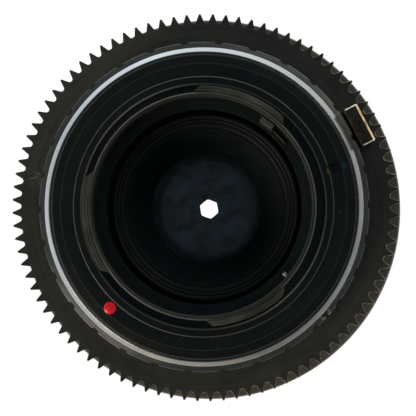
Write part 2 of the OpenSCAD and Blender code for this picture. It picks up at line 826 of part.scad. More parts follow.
// Outline of the teeth: flat crests, straight flanks and round roots.
function tooth(a) = concat(
    [for (s = [-1, 1])
        let (q = a + s * gear_crest / 2 / gear_tip_r * 180 / PI)
        gear_tip_r * [cos(q), sin(q)]],
    [for (i = [0:root_points])
        let (t = root_turn * (2 * i / root_points - 1),
            r = root_centre_r - gear_root_round * cos(t),
            q = a + gear_pitch_a / 2 + gear_root_round * sin(t) / root_centre_r * 180 / PI)
        r * [cos(q), sin(q)]]);

module follow_focus_gear() {
    color([0.12, 0.12, 0.13])
        difference() {
            translate([0, 0, band_z])
                linear_extrude(height = gear_face)
                    polygon([for (i = [0:gear_teeth - 1]) each tooth(gear_phase + i * gear_pitch_a)]);
            translate([0, 0, band_z - over])
                cylinder(r = focus_seat_r + seat_fit, h = focus_z - band_z + over + seat_fit);
            translate([0, 0, focus_z]) cylinder(r = gear_lip_r, h = gear_lip + over);
            for (a = [0:90:270])
                rotate([0, 0, gear_screw_a + a])
                    translate([gear_screw_r, 0, band_z - over])
                        cylinder(d = gear_screw_d, h = gear_screw_bite + over);
        }
}

module gear_screws() {
    color([0.45, 0.45, 0.47])
        for (a = [0:90:270])
            rotate([0, 0, gear_screw_a + a])
                translate([gear_screw_r, 0, grip_z + seat_fit])
                    difference() {
                        union() {
                            cylinder(d = gear_head_d, h = gear_head_h - 2 * seat_fit);
                            cylinder(d = gear_screw_d - 2 * seat_fit,
                                h = band_len + gear_screw_bite - screw_sink);
                        }
                        translate([0, 0, -over])
                            cylinder(d = socket_share * gear_head_d, h = over + socket_depth, $fn = 6);
                    }
}

module focus_stop_block() {
    color([0.66, 0.58, 0.48])
        rotate([0, 0, block_a])
            translate([gear_lip_r + block_inset, -block_len / 2, gear_z])
                cube([block_w, block_len, block_h]);
}

module focus_grip() {
    rib_a = 360 / grip_ribs;
    color([0.07, 0.07, 0.07])
        translate([0, 0, grip_z - seat_fit - grip_len])
            linear_extrude(height = grip_len)
                difference() {
                    polygon([for (i = [0:grip_ribs - 1])
                        for (p = [[0.02, -grip_rib_depth], [0.22, 0], [0.78, 0], [0.98, -grip_rib_depth]])
                            let (q = (i + p[0]) * rib_a) (grip_r + p[1]) * [cos(q), sin(q)]]);
                    circle(r = focus_seat_r + seat_fit);
                }
}

// Front barrel

module front_barrel() {
    color([0.11, 0.11, 0.12])
        difference() {
            turned([[barrel_r + seat_fit, front_z], [front_r - 2 * edge, front_z],
                [front_r, front_z - 2 * edge],
                [front_r, front_rim_z + edge], [front_r - edge, front_rim_z], [filter_r + edge, front_rim_z],
                [filter_r, front_rim_z + edge], [filter_r, trap_end_z], [trap_r + seat_fit, trap_end_z],
                [trap_r + seat_fit, trap_z], [front_bore_r, trap_z], [front_bore_r, front_shoulder_z],
                [barrel_r + seat_fit, front_shoulder_z]]);
            for (a = third)
                radial_rod(barrel_r - over, front_r + over, front_screw_d, front_screw_z, front_screw_a + a);
            for (i = [0:2])
                translate([0, 0, front_rim_z + line_z + i * line_pitch])
                    turned([[front_r - line_w / 2, -line_w / 2], [front_r + over, -line_w / 2 - over / 2],
                        [front_r + over, line_w / 2 + over / 2], [front_r - line_w / 2, line_w / 2]]);
        }
}

module front_barrel_screws() {
    head_r = front_screw_in_r + front_screw_len;
    color([0.30, 0.30, 0.32])
        for (a = third)
            difference() {
                radial_rod(front_screw_in_r + seat_fit, head_r, front_screw_d - 2 * seat_fit, front_screw_z,
                    front_screw_a + a);
                radial_rod(head_r - 2 * socket_depth, head_r + over, socket_share * front_screw_d,
                    front_screw_z,
                    front_screw_a + a, $fn = 6);
            }
}

module front_light_trap() {
    in_r = front_bore_r;
    out_r = trap_r - trap_rim;
    floor_z = trap_z - trap_floor;
    rise = (floor_z - trap_end_z - 2 * seat_fit) / trap_steps;
    tread = (out_r - in_r) / (trap_steps + 1);
    color([0.06, 0.06, 0.06])
        turned(concat([[trap_r, trap_end_z + seat_fit], [trap_r, trap_z - seat_fit],
                [in_r, trap_z - seat_fit], [in_r, floor_z]],
            [for (i = [0:trap_steps - 1]) for (j = [0, 1])
                [in_r + tread * (i + 1 + j / 2), floor_z - rise * (i + j)]],
            [[out_r, trap_end_z + seat_fit]]));
}

// Optic unit

module optic_barrel() {
    drive_slot_w = drive_pin_d + 2 * pass_gap;
    color([0.24, 0.24, 0.25])
        difference() {
            turned([[optic_bore_r, optic_end_z], [optic_r, optic_end_z], [optic_r, optic_z],
                [optic_bore_r, optic_z], [optic_bore_r, web_z], [web_in_r, web_z], [web_in_r,
                    web_z - web_thick],
                [optic_bore_r, web_z - web_thick]]);
            arc_block(relief_r, optic_r + over, relief_end_z, optic_z + over,
                arm_a - aperture_close - arm_half_a - relief_over_a,
                    arm_a + aperture_open + arm_half_a + relief_over_a);
            arc_block(optic_bore_r - over, optic_r, drive_pin_z - drive_slot_w / 2,
                drive_pin_z + drive_slot_w / 2,
                arm_a - aperture_close - arm_half_a, arm_a + aperture_open + arm_half_a);
            for (a = third)
                radial_rod(optic_bore_r - over, optic_r + over, cam_stem_d, pin_rest_z, cam_pin_a + a);
        }
}

module cam_pins() {
    color([0.72, 0.60, 0.32])
        for (a = third) {
            radial_rod(optic_bore_r + seat_fit, optic_r + cam_play, cam_stem_d - 2 * seat_fit, pin_rest_z,
                cam_pin_a + a);
            radial_rod(optic_r, ring_bore_r + helix_depth - 2 * helix_play, cam_pin_d, pin_rest_z,
                cam_pin_a + a);
        }
}

module rear_cell() {
    color([0.10, 0.10, 0.11])
        turned([[rear_bore_r - lip_w, cell_end_z], [cell_r, cell_end_z], [cell_r, cell_step_z],
            [rear_neck_r, cell_step_z], [rear_neck_r, cell_neck_z - edge],
            [rear_neck_r - edge, cell_neck_z], [rear_retainer_r + seat_fit, cell_neck_z],
            [rear_retainer_r + seat_fit, rear_ledge_z], [rear_bore_r, rear_ledge_z],
            [rear_bore_r, cell_end_z + lip_w], [rear_bore_r - lip_w, cell_end_z + lip_w]]);
}

module rear_retaining_ring() {
    r = rear_retainer_r;
    top_z = cell_neck_z - ring_sink;
    color([0.06, 0.06, 0.07])
        turned([[rear_clear_r, rear_lip_z], [rear_glass_r, rear_lip_z],
            [rear_glass_r, rear_ledge_z + seat_fit],
            [r, rear_ledge_z + seat_fit], [r, top_z], [r - ring_sink, top_z],
            [rear_clear_r, rear_lip_z + ring_sink]]);
}

module rear_element() {
    color([0.55, 0.65, 0.75, 0.5]) lens(rear_glass_r, rear_rim_z, rear_back_z, rear_bend, rear_back_bend);
}

module rear_spacer() {
    spacer_z = rear_back_z - sag(rear_back_bend, rear_glass_r) + sag(rear_back_bend, rear_glass_r - spacer_w)
        - seat_fit;
    color([0.10, 0.10, 0.11])
        turned([[rear_glass_r - spacer_w, inner_rim_z + seat_fit], [rear_glass_r, inner_rim_z + seat_fit],
            [rear_glass_r, spacer_z], [rear_glass_r - spacer_w, spacer_z]]);
}

module rear_inner_element() {
    color([0.55, 0.65, 0.75, 0.5]) lens(rear_glass_r, inner_rim_z, inner_back_z, -inner_bend, -inner_bend);
}

module front_cell() {
    color([0.10, 0.10, 0.11])
        turned([[third_r - front_lip, front_cell_z], [cell_r, front_cell_z], [cell_r, optic_end_z - seat_fit],
            [optic_r - seat_fit, optic_end_z - seat_fit], [optic_r - seat_fit, flange_end_z + edge],
            [optic_r - seat_fit - edge, flange_end_z], [front_ring_r + seat_fit, flange_end_z],
            [front_ring_r + seat_fit, front_ring_seat_z], [front_glass_r + glass_fit, front_ring_seat_z],
            [front_glass_r + glass_fit, first_seat_z], [second_r + glass_fit, first_seat_z],
            [second_r + glass_fit, second_seat_z], [third_r + glass_fit, second_seat_z],
            [third_r + glass_fit, third_seat_z], [third_r - front_lip, third_seat_z]]);
}

module front_retaining_ring() {
    color([0.07, 0.07, 0.08])
        turned([[front_clear_r, front_face_z], [front_glass_r, front_face_z],
            [front_glass_r, front_ring_seat_z - seat_fit],
            [front_ring_r, front_ring_seat_z - seat_fit], [front_ring_r, flange_end_z + screw_sink],
            [front_ring_r - ring_sink, flange_end_z + screw_sink], [front_clear_r,
                front_face_z - ring_sink]]);
}

module front_element() {
    color([0.55, 0.65, 0.75, 0.5])
        lens(front_glass_r, first_seat_z - seat_fit, front_edge_z, -front_back_bend, front_bend);
}

module front_second_element() {
    color([0.55, 0.65, 0.75, 0.5])
        lens(second_r, second_seat_z - seat_fit, second_edge_z, -second_back_bend, second_bend);
}

module front_spacer() {
    spacer_z = second_edge_z - sag(second_bend, second_r) + sag(second_bend, second_r - spacer_w) - seat_fit;
    color([0.10, 0.10, 0.11])
        turned([[second_r - spacer_w, first_seat_z + seat_fit], [second_r, first_seat_z + seat_fit],
            [second_r, spacer_z], [second_r - spacer_w, spacer_z]]);
}

module front_inner_element() {
    color([0.55, 0.65, 0.75, 0.5])
        lens(third_r, third_seat_z - seat_fit, second_seat_z + glass_fit, -third_bend, -third_bend);
}

// Iris

module iris_base_plate() {
    stop_r = blade_inner_r - layer_gap;
    color([0.14, 0.14, 0.15])
        difference() {
            turned([[stop_r, web_z], [cell_r, web_z], [cell_r, plate_z], [stop_r, plate_z]]);
            for (i = [0:5])
                rotate([0, 0, pivot_phase + 60 * i])
                    translate([pivot_r, 0, web_z - over])
                        cylinder(r = blade_pin_r + run_fit, h = plate_thick + 2 * over);
        }
}

module iris_cover_ring() {
    color([0.10, 0.10, 0.11])
        turned([[cam_ring_in_r - edge, cover_z - cover_thick], [cell_r, cover_z - cover_thick],
            [cell_r, cover_z],
            [cam_ring_in_r - edge, cover_z]]);
}

// Place of a blade's cam pin, seen from the cam ring, when the aperture ring has turned by t.
function cam_point(t) =
    let (q = cam_arm_a - blade_rate * t,
        p = [pivot_r + cam_arm * cos(q), cam_arm * sin(q)])
    [p[0] * cos(t) + p[1] * sin(t), p[1] * cos(t) - p[0] * sin(t)];

// Direction across a cam slot at turn t.
function cam_side(t) =
    let (d = cam_point(t + cam_step) - cam_point(t - cam_step))
    [-d[1], d[0]] / norm(d);

module cam_slot() {
    turns = [for (i = [0:cam_steps])
        -aperture_close - cam_over + i * (aperture_open + aperture_close + 2 * cam_over) / cam_steps];
    polygon(concat([for (t = turns) cam_point(t) + cam_slot_r * cam_side(t)],
        [for (i = [cam_steps:-1:0]) cam_point(turns[i]) - cam_slot_r * cam_side(turns[i])]));
    for (t = [turns[0], turns[cam_steps]]) translate(cam_point(t)) circle(r = cam_slot_r);
}

module iris_cam_ring() {
    color([0.62, 0.52, 0.30])
        difference() {
            translate([0, 0, cam_z - cam_thick])
                linear_extrude(height = cam_thick)
                    difference() {
                        circle(r = cam_ring_r);
                        circle(r = cam_ring_in_r);
                        for (i = [0:5]) rotate(pivot_phase + 60 * i) cam_slot();
                    }
            radial_rod(cam_ring_r - drive_pin_hold, cam_ring_r + over, drive_pin_d, drive_pin_z, arm_a);
        }
}

module iris_cam_pin() {
    color([0.72, 0.60, 0.32])
        radial_rod(cam_ring_r - drive_pin_hold + seat_fit, drive_ring_r - key_play,
            drive_pin_d - 2 * seat_fit,
            drive_pin_z, arm_a);
}

// Flat outline of a blade about its pivot, drawn for the open iris.
module blade_outline() {
    tail_a = cam_arm_a - blade_turn;
    neck = blade_ear - blade_foot;
    translate([-pivot_r, 0])
        difference() {
            intersection() {
                circle(r = blade_outer_r);
                polygon(concat([[0, 0]], [for (i = [0:blade_steps])
                    let (a = -blade_lead + (blade_arc + blade_lead) * i / blade_steps)
                    2 * blade_outer_r * [cos(a), sin(a)]]));
            }
            circle(r = blade_inner_r);
        }
    circle(r = ear_r);
    translate([-neck, -ear_r]) square([neck, 2 * ear_r]);
    rotate(tail_a) {
        translate([0, -tail_r]) square([cam_arm, 2 * tail_r]);
        translate([cam_arm, 0]) circle(r = tail_r);
    }
}

// Blade in layer i, counted from the base plate.
module blade(i) {
    floor_z = plate_z + blade_gap + i * blade_pitch;
    foot_z = web_z + layer_gap;
    mid_z = floor_z + blade_thick / 2;
    color([0.22, 0.22, 0.24])
        rotate([0, 0, pivot_phase + 60 * i])
            translate([pivot_r, 0, 0])
                rotate([0, 0, blade_turn]) {
                    translate([0, 0, floor_z]) linear_extrude(height = blade_thick) blade_outline();
                    translate([0, 0, foot_z]) cylinder(r = blade_pin_r, h = mid_z - foot_z);
                    rotate([0, 0, cam_arm_a - blade_turn])
                        translate([cam_arm, 0, mid_z]) cylinder(r = blade_pin_r,
                            h = cam_z - layer_gap - mid_z);
                }
}

module iris_blade_1() {
    blade(0);
}

module iris_blade_2() {
    blade(1);
}

module iris_blade_3() {
    blade(2);
}

module iris_blade_4() {
    blade(3);
}

module iris_blade_5() {
    blade(4);
}

module iris_blade_6() {
    blade(5);
}

// Stop-down lever

module stop_down_lever() {
    tab_half_a = tab_w / 2 / well_r * 180 / PI;
    leg_half_a = (spring_wire_d / 2 + leg_play) / lever_r * 180 / PI;
    color([0.42, 0.42, 0.44])
        difference() {
            union() {
                turned([[lever_in_r, lever_z - lever_thick], [lever_r, lever_z - lever_thick],
                    [lever_r, lever_z],
                    [lever_in_r, lever_z]]);
                arc_block(tab_in_r, tab_out_r, lever_z - lever_thick / 2, lever_z + tab_h, tab_a - tab_half_a,
                    tab_a + tab_half_a);
            }
            arc_block(lever_r - leg_reach, lever_r + over, lever_z - lever_thick - over, lever_z - leg_play,
                spring_free_a - leg_half_a - lever_turn, spring_free_a + leg_half_a);
        }
}

module lever_spring() {
    color([0.55, 0.40, 0.25]) {
        rotate([0, 0, spring_free_a])
            rotate_extrude(angle = spring_arc)
                translate([spring_r, spring_z]) circle(d = spring_wire_d);
        radial_rod(spring_r, lever_room_r + spring_leg, leg_d, spring_z, spring_fixed_a);
        radial_rod(lever_r - leg_reach + leg_play, spring_r, leg_d, spring_z, spring_free_a);
    }
}

// Wire hook that leads from the tab's foot along the lever ring.
module lever_hook() {
    hook_r = (tab_in_r + tab_out_r) / 2;
    hook_z = lever_z + spring_wire_d / 2;
    color([0.55, 0.40, 0.25]) {
        rotate([0, 0, tab_a - hook_arc])
            rotate_extrude(angle = hook_arc - (tab_w / 2 + seat_fit) / hook_r * 180 / PI)
                translate([hook_r, hook_z]) circle(d = spring_wire_d);
        rotate([0, 0, tab_a - hook_arc])
            translate([hook_r, 0, hook_z])
                cylinder(d = leg_d, h = hook_rise);
    }
}

module lever_retainer() {
    edge_r = retainer_screw_r + retainer_screw_d;
    color([0.16, 0.16, 0.17])
        difference() {
            turned([[lever_in_r + tab_gap, retainer_z - retainer_thick],
                [edge_r, retainer_z - retainer_thick],
                [edge_r, retainer_z], [lever_in_r + tab_gap, retainer_z]]);
            for (a = third)
                rotate([0, 0, retainer_screw_a + a])
                    translate([retainer_screw_r, 0, retainer_z - retainer_thick - over])
                        cylinder(d = retainer_screw_d + key_play, h = retainer_thick + 2 * over);
        }
}

module lever_retainer_screws() {
    color([0.45, 0.45, 0.47])
        for (a = third)
            rotate([0, 0, retainer_screw_a + a])
                translate([retainer_screw_r, 0, retainer_z - retainer_thick - retainer_head_h]) {
                    cylinder(d = retainer_head_d, h = retainer_head_h);
                    cylinder(d = retainer_screw_d - 2 * seat_fit,
                        h = retainer_head_h + retainer_thick + retainer_screw_len - screw_sink);
                }
}

bayonet_mount();
mount_trim_ring();
index_bead();
mount_screws();
aperture_ring();
aperture_keys();
iris_drive_ring();
fixed_barrel();
focus_stop_tab();
rear_thrust_washer();
front_thrust_washer();
focus_ring();
follow_focus_gear();
gear_screws();
focus_stop_block();
focus_grip();
front_barrel();
front_barrel_screws();
front_light_trap();
optic_barrel();
cam_pins();
rear_cell();
rear_retaining_ring();
rear_element();
rear_spacer();
rear_inner_element();
front_cell();
front_retaining_ring();
front_element();
front_spacer();
front_second_element();
front_inner_element();
iris_base_plate();
iris_cover_ring();
iris_cam_ring();
iris_cam_pin();
iris_blade_1();
iris_blade_2();
iris_blade_3();
iris_blade_4();
iris_blade_5();
iris_blade_6();
stop_down_lever();
lever_hook();
sleeve_pin();
lever_spring();
lever_retainer();
lever_retainer_screws();
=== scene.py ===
"""Studio scene of a cinema prime lens that stands on its front rim and shows its bayonet mount."""
import logging
import math
from dataclasses import dataclass, field
from enum import Enum, IntEnum
from typing import Any, Callable, Mapping, Sequence, Union

import bmesh
import bpy
from mathutils import Matrix, Vector


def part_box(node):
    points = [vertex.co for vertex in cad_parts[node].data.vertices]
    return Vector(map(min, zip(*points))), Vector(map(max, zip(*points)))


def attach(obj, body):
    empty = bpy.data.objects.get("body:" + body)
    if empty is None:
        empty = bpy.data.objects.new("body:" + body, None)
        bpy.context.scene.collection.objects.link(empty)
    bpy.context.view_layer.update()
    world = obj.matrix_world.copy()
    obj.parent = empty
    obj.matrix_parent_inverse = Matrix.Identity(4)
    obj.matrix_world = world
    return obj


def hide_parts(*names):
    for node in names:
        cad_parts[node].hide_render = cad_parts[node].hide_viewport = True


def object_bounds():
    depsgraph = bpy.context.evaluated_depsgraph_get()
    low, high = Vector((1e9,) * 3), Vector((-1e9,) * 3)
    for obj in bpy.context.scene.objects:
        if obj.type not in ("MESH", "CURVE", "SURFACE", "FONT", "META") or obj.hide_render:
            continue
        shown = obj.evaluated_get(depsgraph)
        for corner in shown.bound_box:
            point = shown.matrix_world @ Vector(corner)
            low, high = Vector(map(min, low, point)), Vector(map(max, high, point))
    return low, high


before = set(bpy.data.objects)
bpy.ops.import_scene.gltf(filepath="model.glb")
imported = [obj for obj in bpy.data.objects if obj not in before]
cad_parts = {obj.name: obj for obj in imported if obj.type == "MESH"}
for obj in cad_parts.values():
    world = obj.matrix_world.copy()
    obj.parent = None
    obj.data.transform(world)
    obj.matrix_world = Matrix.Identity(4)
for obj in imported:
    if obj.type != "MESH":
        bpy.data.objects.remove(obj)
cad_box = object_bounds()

log = logging.getLogger("prime_lens")

MM = 0.001
ORIGIN = (0.0, 0.0, 0.0)
AXIS = (0.0, 0.0, 1.0)
MERGE = 1e-7
TINY = 1e-6
# Part of a unit normal along an axis, for a face that is square to it and for one that leans to it
LEVEL = 0.9
SLANT = 0.3

Colour = tuple[float, float, float]
Outline = Sequence[tuple[float, float]]
Operand = Union["Value", float]


class Unit(str, Enum):
    """Bodies of the lens that a piece can ride on."""

    BARREL = "barrel"
    FOCUS = "focus_unit"
    OPTIC = "optic_unit"
    APERTURE = "aperture_unit"
    LEVER = "lever"


class Slot(str, Enum):
    """Material slots of the record."""

    BLACK = "black_anodised"
    POLISHED = "polished_aluminium"
    BEAD = "red_bead"
    DARK_STEEL = "blackened_steel"
    STEEL = "steel"
    POLYMER = "washer_polymer"
    BARREL = "barrel_black"
    FLAT = "flat_black"
    WIRE = "spring_wire"
    GEAR = "gear_black"
    BLOCK = "stop_metal"
    RUBBER = "grip_rubber"
    BRASS = "brass"
    GLASS = "coated_glass"
    GREY = "turned_grey"
    BLADE = "blade_steel"


class BezelFinish(IntEnum):
    """Places of the finishes on the bezel's faces."""

    BODY = 0
    EDGE = 1
    RIM = 2
    # RIM_LINE and SEAT_LINE hold painted highlight lines.
    RIM_LINE = 3
    SEAT_LINE = 4
    LIP = 5
    SLOT_FLOOR = 6


class BlockFinish(IntEnum):
    """Places of the finishes on the stop block's faces."""

    BODY = 0
    # BEVEL holds a painted reflection, ENDS a painted highlight and INNER_SIDE painted light.
    BEVEL = 1
    ENDS = 2
    INNER_SIDE = 3


@dataclass(frozen=True)
class Extent:
    """Reach of a CAD node: its largest radius and its two ends on the axis, in millimetres."""

    radius: float
    low: float
    high: float

    @classmethod
    def of(cls, node: str) -> "Extent":
        """Measures a node of the frame.

        Args:
            node: Name of the CAD node.

        Returns:
            The node's reach.
        """
        low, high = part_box(node)
        return cls(max(-low.x, high.x, -low.y, high.y) / MM, low.z / MM, high.z / MM)

    @property
    def middle(self) -> float:
        """Height half way between the two ends."""
        return (self.low + self.high) / 2


class Value:
    """A socket of a shader tree that takes part in Python expressions."""

    def __init__(self, shader: "Shader", socket: bpy.types.NodeSocket) -> None:
        """Wraps one output socket of the shader's tree."""
        self.shader = shader
        self.socket = socket

    def math(self, operation: str, *others: Operand) -> "Value":
        """Adds a Math node behind this socket.

        Args:
            operation: Name of the Math node's operation.
            others: Its further operands.

        Returns:
            The result.
        """
        sockets = dict(enumerate((self, *others)))
        return self.shader.node("ShaderNodeMath", {"operation": operation}, sockets)

    def reflected(self, operation: str, other: Operand) -> "Value":
        """The operation with the other operand first."""
        return self.shader.node("ShaderNodeMath", {"operation": operation}, {0: other, 1: self})

    def __add__(self, other: Operand) -> "Value":
        """Sum."""
        return self.math("ADD", other)

    __radd__ = __add__

    def __sub__(self, other: Operand) -> "Value":
        """Difference."""
        return self.math("SUBTRACT", other)

    def __rsub__(self, other: Operand) -> "Value":
        """Difference from a number."""
        return self.reflected("SUBTRACT", other)

    def __mul__(self, other: Operand) -> "Value":
        """Product."""
        return self.math("MULTIPLY", other)

    __rmul__ = __mul__

    def __truediv__(self, other: Operand) -> "Value":
        """Quotient."""
        return self.math("DIVIDE", other)

    def __rtruediv__(self, other: Operand) -> "Value":
        """Quotient of a number."""
        return self.reflected("DIVIDE", other)

    def step(self, low: float, high: float) -> "Value":
        """A smooth step from 0 at low to 1 at high."""
        settings = {"interpolation_type": "SMOOTHSTEP"}
        return self.shader.node("ShaderNodeMapRange", settings, {0: self, 1: low, 2: high, 3: 0.0, 4: 1.0})


class Shader:
    """A material with one Principled surface, built node by node."""

    def __init__(self, name: str) -> None:
        """Makes an empty material of that name."""
        self.material = bpy.data.materials.new(name)
        self.material.use_nodes = True
        self.tree = self.material.node_tree
        self.tree.nodes.clear()
        self.surface = self.tree.nodes.new("ShaderNodeBsdfPrincipled")
        output = self.tree.nodes.new("ShaderNodeOutputMaterial")
        self.tree.links.new(self.surface.outputs[0], output.inputs["Surface"])

    @classmethod
    def of_tree(cls, tree: bpy.types.NodeTree) -> "Shader":
        """Wraps a bare tree, such as the world's.

        Args:
            tree: The tree, which is emptied.

        Returns:
            A shader that adds its nodes there.
        """
        shader = cls.__new__(cls)
        shader.tree = tree
        tree.nodes.clear()
        return shader

    def node(self, kind: str, settings: Mapping[str, Any] | None = None,
             sockets: Mapping[Any, Any] | None = None, output: Any = 0) -> Value | None:
        """Adds any node.

        Args:
            kind: The node's type.
            settings: Its settings, set first; "stops" are the stops of a colour ramp.
            sockets: Values or links of its input sockets, by name or place.
            output: The output socket that is wanted, or None for a node that has none.

        Returns:
            That output.
        """
        node = self.tree.nodes.new(kind)
        for name, value in (settings or {}).items():
            if name == "stops":
                self.set_stops(node.color_ramp, value)
            else:
                setattr(node, name, value)
        for key, value in (sockets or {}).items():
            self.feed(node.inputs[key], value)
        return None if output is None else Value(self, node.outputs[output])

    @staticmethod
    def set_stops(ramp: bpy.types.ColorRamp, stops: Sequence[tuple[float, Colour]]) -> None:
        """Gives a ramp its stops, which are pairs of a place and a colour."""
        while len(ramp.elements) < len(stops):
            ramp.elements.new(1.0)
        for element, (place, colour) in zip(ramp.elements, stops):
            element.position = place
            element.color = (*colour, 1.0)

    def feed(self, socket: bpy.types.NodeSocket, value: Any) -> None:
        """Links a socket to a Value, or sets it to a number, colour or vector."""
        if isinstance(value, Value):
            self.tree.links.new(value.socket, socket)
        elif socket.type == "RGBA" and len(value) == 3:
            socket.default_value = (*value, 1.0)
        else:
            socket.default_value = value

    def set(self, **sockets: Any) -> "Shader":
        """Feeds sockets of the surface, named with _ for a space.

        Args:
            sockets: Values or links by socket name.

        Returns:
            This shader.
        """
        for name, value in sockets.items():
            self.feed(self.surface.inputs[name.replace("_", " ")], value)
        return self

    def place(self) -> tuple[Value, Value, Value, Value]:
        """The point on the surface, as a vector and as its three parts.

        Returns:
            The vector and its x, y and z.
        """
        point = self.node("ShaderNodeTexCoord", output="Object")
        split = self.node("ShaderNodeSeparateXYZ", None, {0: point})
        parts = [Value(self, socket) for socket in split.socket.node.outputs]
        return point, parts[0], parts[1], parts[2]

    def noise(self, vector: Value, scale: float, detail: float = 2.0, rough: float = 0.5) -> Value:
        """Noise texture over a vector.

        Args:
            vector: Coordinates.
            scale: Waves for each unit of the coordinates.
            detail: Octaves.
            rough: Share of the finer octaves.

        Returns:
            The noise, around 0.5.
        """
        sockets = {"Vector": vector, "Scale": scale, "Detail": detail, "Roughness": rough}
        return self.node("ShaderNodeTexNoise", {"noise_dimensions": "3D"}, sockets)

    def mix(self, factor: Operand, first: Any, second: Any) -> Value:
        """Mixes two colours.

        Args:
            factor: Share of the second colour.
            first: Colour at factor 0.
            second: Colour at factor 1.

        Returns:
            The mixed colour.
        """
        return self.node("ShaderNodeMix", {"data_type": "RGBA"}, {0: factor, 6: first, 7: second}, 2)

    def bump(self, height: Value, depth: float) -> Value:
        """A normal from a height between 0 and 1.

        Args:
            height: The height.
            depth: Depth of the relief in metres.

        Returns:
            The normal.
        """
        return self.node("ShaderNodeBump", None, {"Strength": 1.0, "Distance": depth, "Height": height})

    def lathe_marks(self, pitch: float, sweep: float, climb: float = 0.71) -> Value:
        """Coordinates on a turned face that run fast across the tool marks and slowly along them.

        Args:
            pitch: Distance between two marks in metres.
            sweep: Waves in one turn.
            climb: Share of the height that counts as a way across the marks.

        Returns:
            The coordinate vector.
        """
        _, x, y, z = self.place()
        reach = (x * x + y * y).math("SQRT") + TINY
        across = (reach + z * climb) / pitch
        sockets = {0: x / reach * sweep, 1: y / reach * sweep, 2: across}
        return self.node("ShaderNodeCombineXYZ", None, sockets)


class Finish:
    """A finish that paints its material once and hands it out after that."""

    made: dict[str, bpy.types.Material] = {}
    name: str

    def material(self) -> bpy.types.Material:
        """The finish as a material."""
        if self.name not in Finish.made:
            shader = Shader(self.name)
            self.paint(shader)
            Finish.made[self.name] = shader.material
        return Finish.made[self.name]

    def paint(self, shader: Shader) -> None:
        """Builds the material's nodes."""
        raise NotImplementedError


@dataclass(frozen=True)
class TurnedMetal(Finish):
    """Metal with fine tool marks round the axis, soft clouds, rubbed streaks and a little dust."""

    name: str
    base: Colour
    streak: Colour
    metallic: float = 0.0
    roughness: float = 0.4
    spread: float = 0.1
    pitch: float = 0.00012
    relief: float = 0.000004
    dust: float = 0.0
    dust_colour: Colour = (0.30, 0.30, 0.29)
    specular: float = 0.5
    brushed: float = 0.0
    brush_turn: float = 0.25

    def paint(self, shader: Shader) -> None:
        """Streaks and clouds for the colour, marks for the relief, specks for the dust."""
        point = shader.place()[0]
        marks = shader.noise(shader.lathe_marks(self.pitch, 1.5), 1.0, 3.0, 0.6)
        broad = shader.noise(shader.lathe_marks(self.pitch * 6, 3.0), 1.0, 2.0)
        clouds = shader.noise(point, 260.0, 4.0, 0.6)
        tone = (marks * 0.45 + broad * 0.35 + clouds * 0.4 - 0.1).step(0.25, 0.75)
        colour = shader.mix(tone, self.base, self.streak)
        rough = self.roughness + self.spread * (tone - 0.5)
        if self.dust:
            specks = shader.noise(point, 2600.0, 1.0).step(0.70, 0.78) * clouds.step(0.42, 0.62) * self.dust
            colour = shader.mix(specks, colour, self.dust_colour)
            rough = rough + specks * 0.3
        shader.set(Base_Color=colour, Roughness=rough, Metallic=self.metallic,
                   Specular_IOR_Level=self.specular, Anisotropic=self.brushed,
                   Anisotropic_Rotation=self.brush_turn, Normal=shader.bump(marks, self.relief))


@dataclass(frozen=True)
class ScuffedMetal(TurnedMetal):
    """Turned metal with one scratched patch."""

    patch: tuple[float, float] = (-0.0283, -0.0184)
    patch_r: float = 0.0022
    scratch: Colour = (0.26, 0.255, 0.235)
    scratch_pitch: float = 0.0012
    scratch_sweep: float = 90.0

    def paint(self, shader: Shader) -> None:
        """The turned metal, with pale scratches inside the patch."""
        super().paint(shader)
        _, x, y, _ = shader.place()
        off_x = x - self.patch[0]
        off_y = y - self.patch[1]
        near = 1 - ((off_x * off_x + off_y * off_y).math("SQRT") / self.patch_r).step(0.3, 1.3)
        marks = shader.lathe_marks(self.scratch_pitch, self.scratch_sweep)
        lines = shader.noise(marks, 1.0, 3.0, 0.6).step(0.52, 0.66) * near
        under = self.base_link(shader)
        shader.set(Base_Color=shader.mix(lines, under, self.scratch))

    @staticmethod
    def base_link(shader: Shader) -> Value:
        """The colour that feeds the surface so far."""
        return Value(shader, shader.surface.inputs["Base Color"].links[0].from_socket)


@dataclass(frozen=True)
class RubbedEdgeAndHighlight(Finish):
    """Bevel finish that is lighter in patches: partly metal from which handling has rubbed the black, partly
    a painted highlight where light catches the edge.
    """

    name: str
    base: Colour
    # Colour of the lighter patches: rubbed-through metal and painted edge highlight.
    bare_and_lit: Colour
    cover: float = 0.5
    roughness: float = 0.38
    metallic: float = 0.9
    # Angle of the side of the lens that faces the light; where given, the lighter patches are a painted
    # highlight on that side only.
    side: float | None = None
    relief: float = 0.000006

    def paint(self, shader: Shader) -> None:
        """Lighter colour where a broken noise says so, standing for rubbed-through metal and for a painted
        edge highlight; if a side is given, only on the side of the lens that faces the light, where it is a
        painted highlight.
        """
        point, x, y, _ = shader.place()
        patch_noise = shader.noise(point, 700.0, 4.0, 0.6) * 0.5 + shader.noise(point, 60.0, 2.0) * 0.5
        bare_and_lit = patch_noise.step(0.66 - 0.4 * self.cover, 0.86 - 0.4 * self.cover)
        # Painted highlight: the lighter patches stay on the side of the lens that faces the light.
        if self.side is not None:
            turn = math.radians(self.side)
            toward = (x * math.cos(turn) + y * math.sin(turn)) / ((x * x + y * y).math("SQRT") + TINY)
            bare_and_lit = bare_and_lit * toward.step(-0.3, 0.7)
        shader.set(Base_Color=shader.mix(bare_and_lit, self.base, self.bare_and_lit), Metallic=bare_and_lit * self.metallic,
                   Roughness=self.roughness + 0.12 * (1 - bare_and_lit),
                   Normal=shader.bump(patch_noise, self.relief))


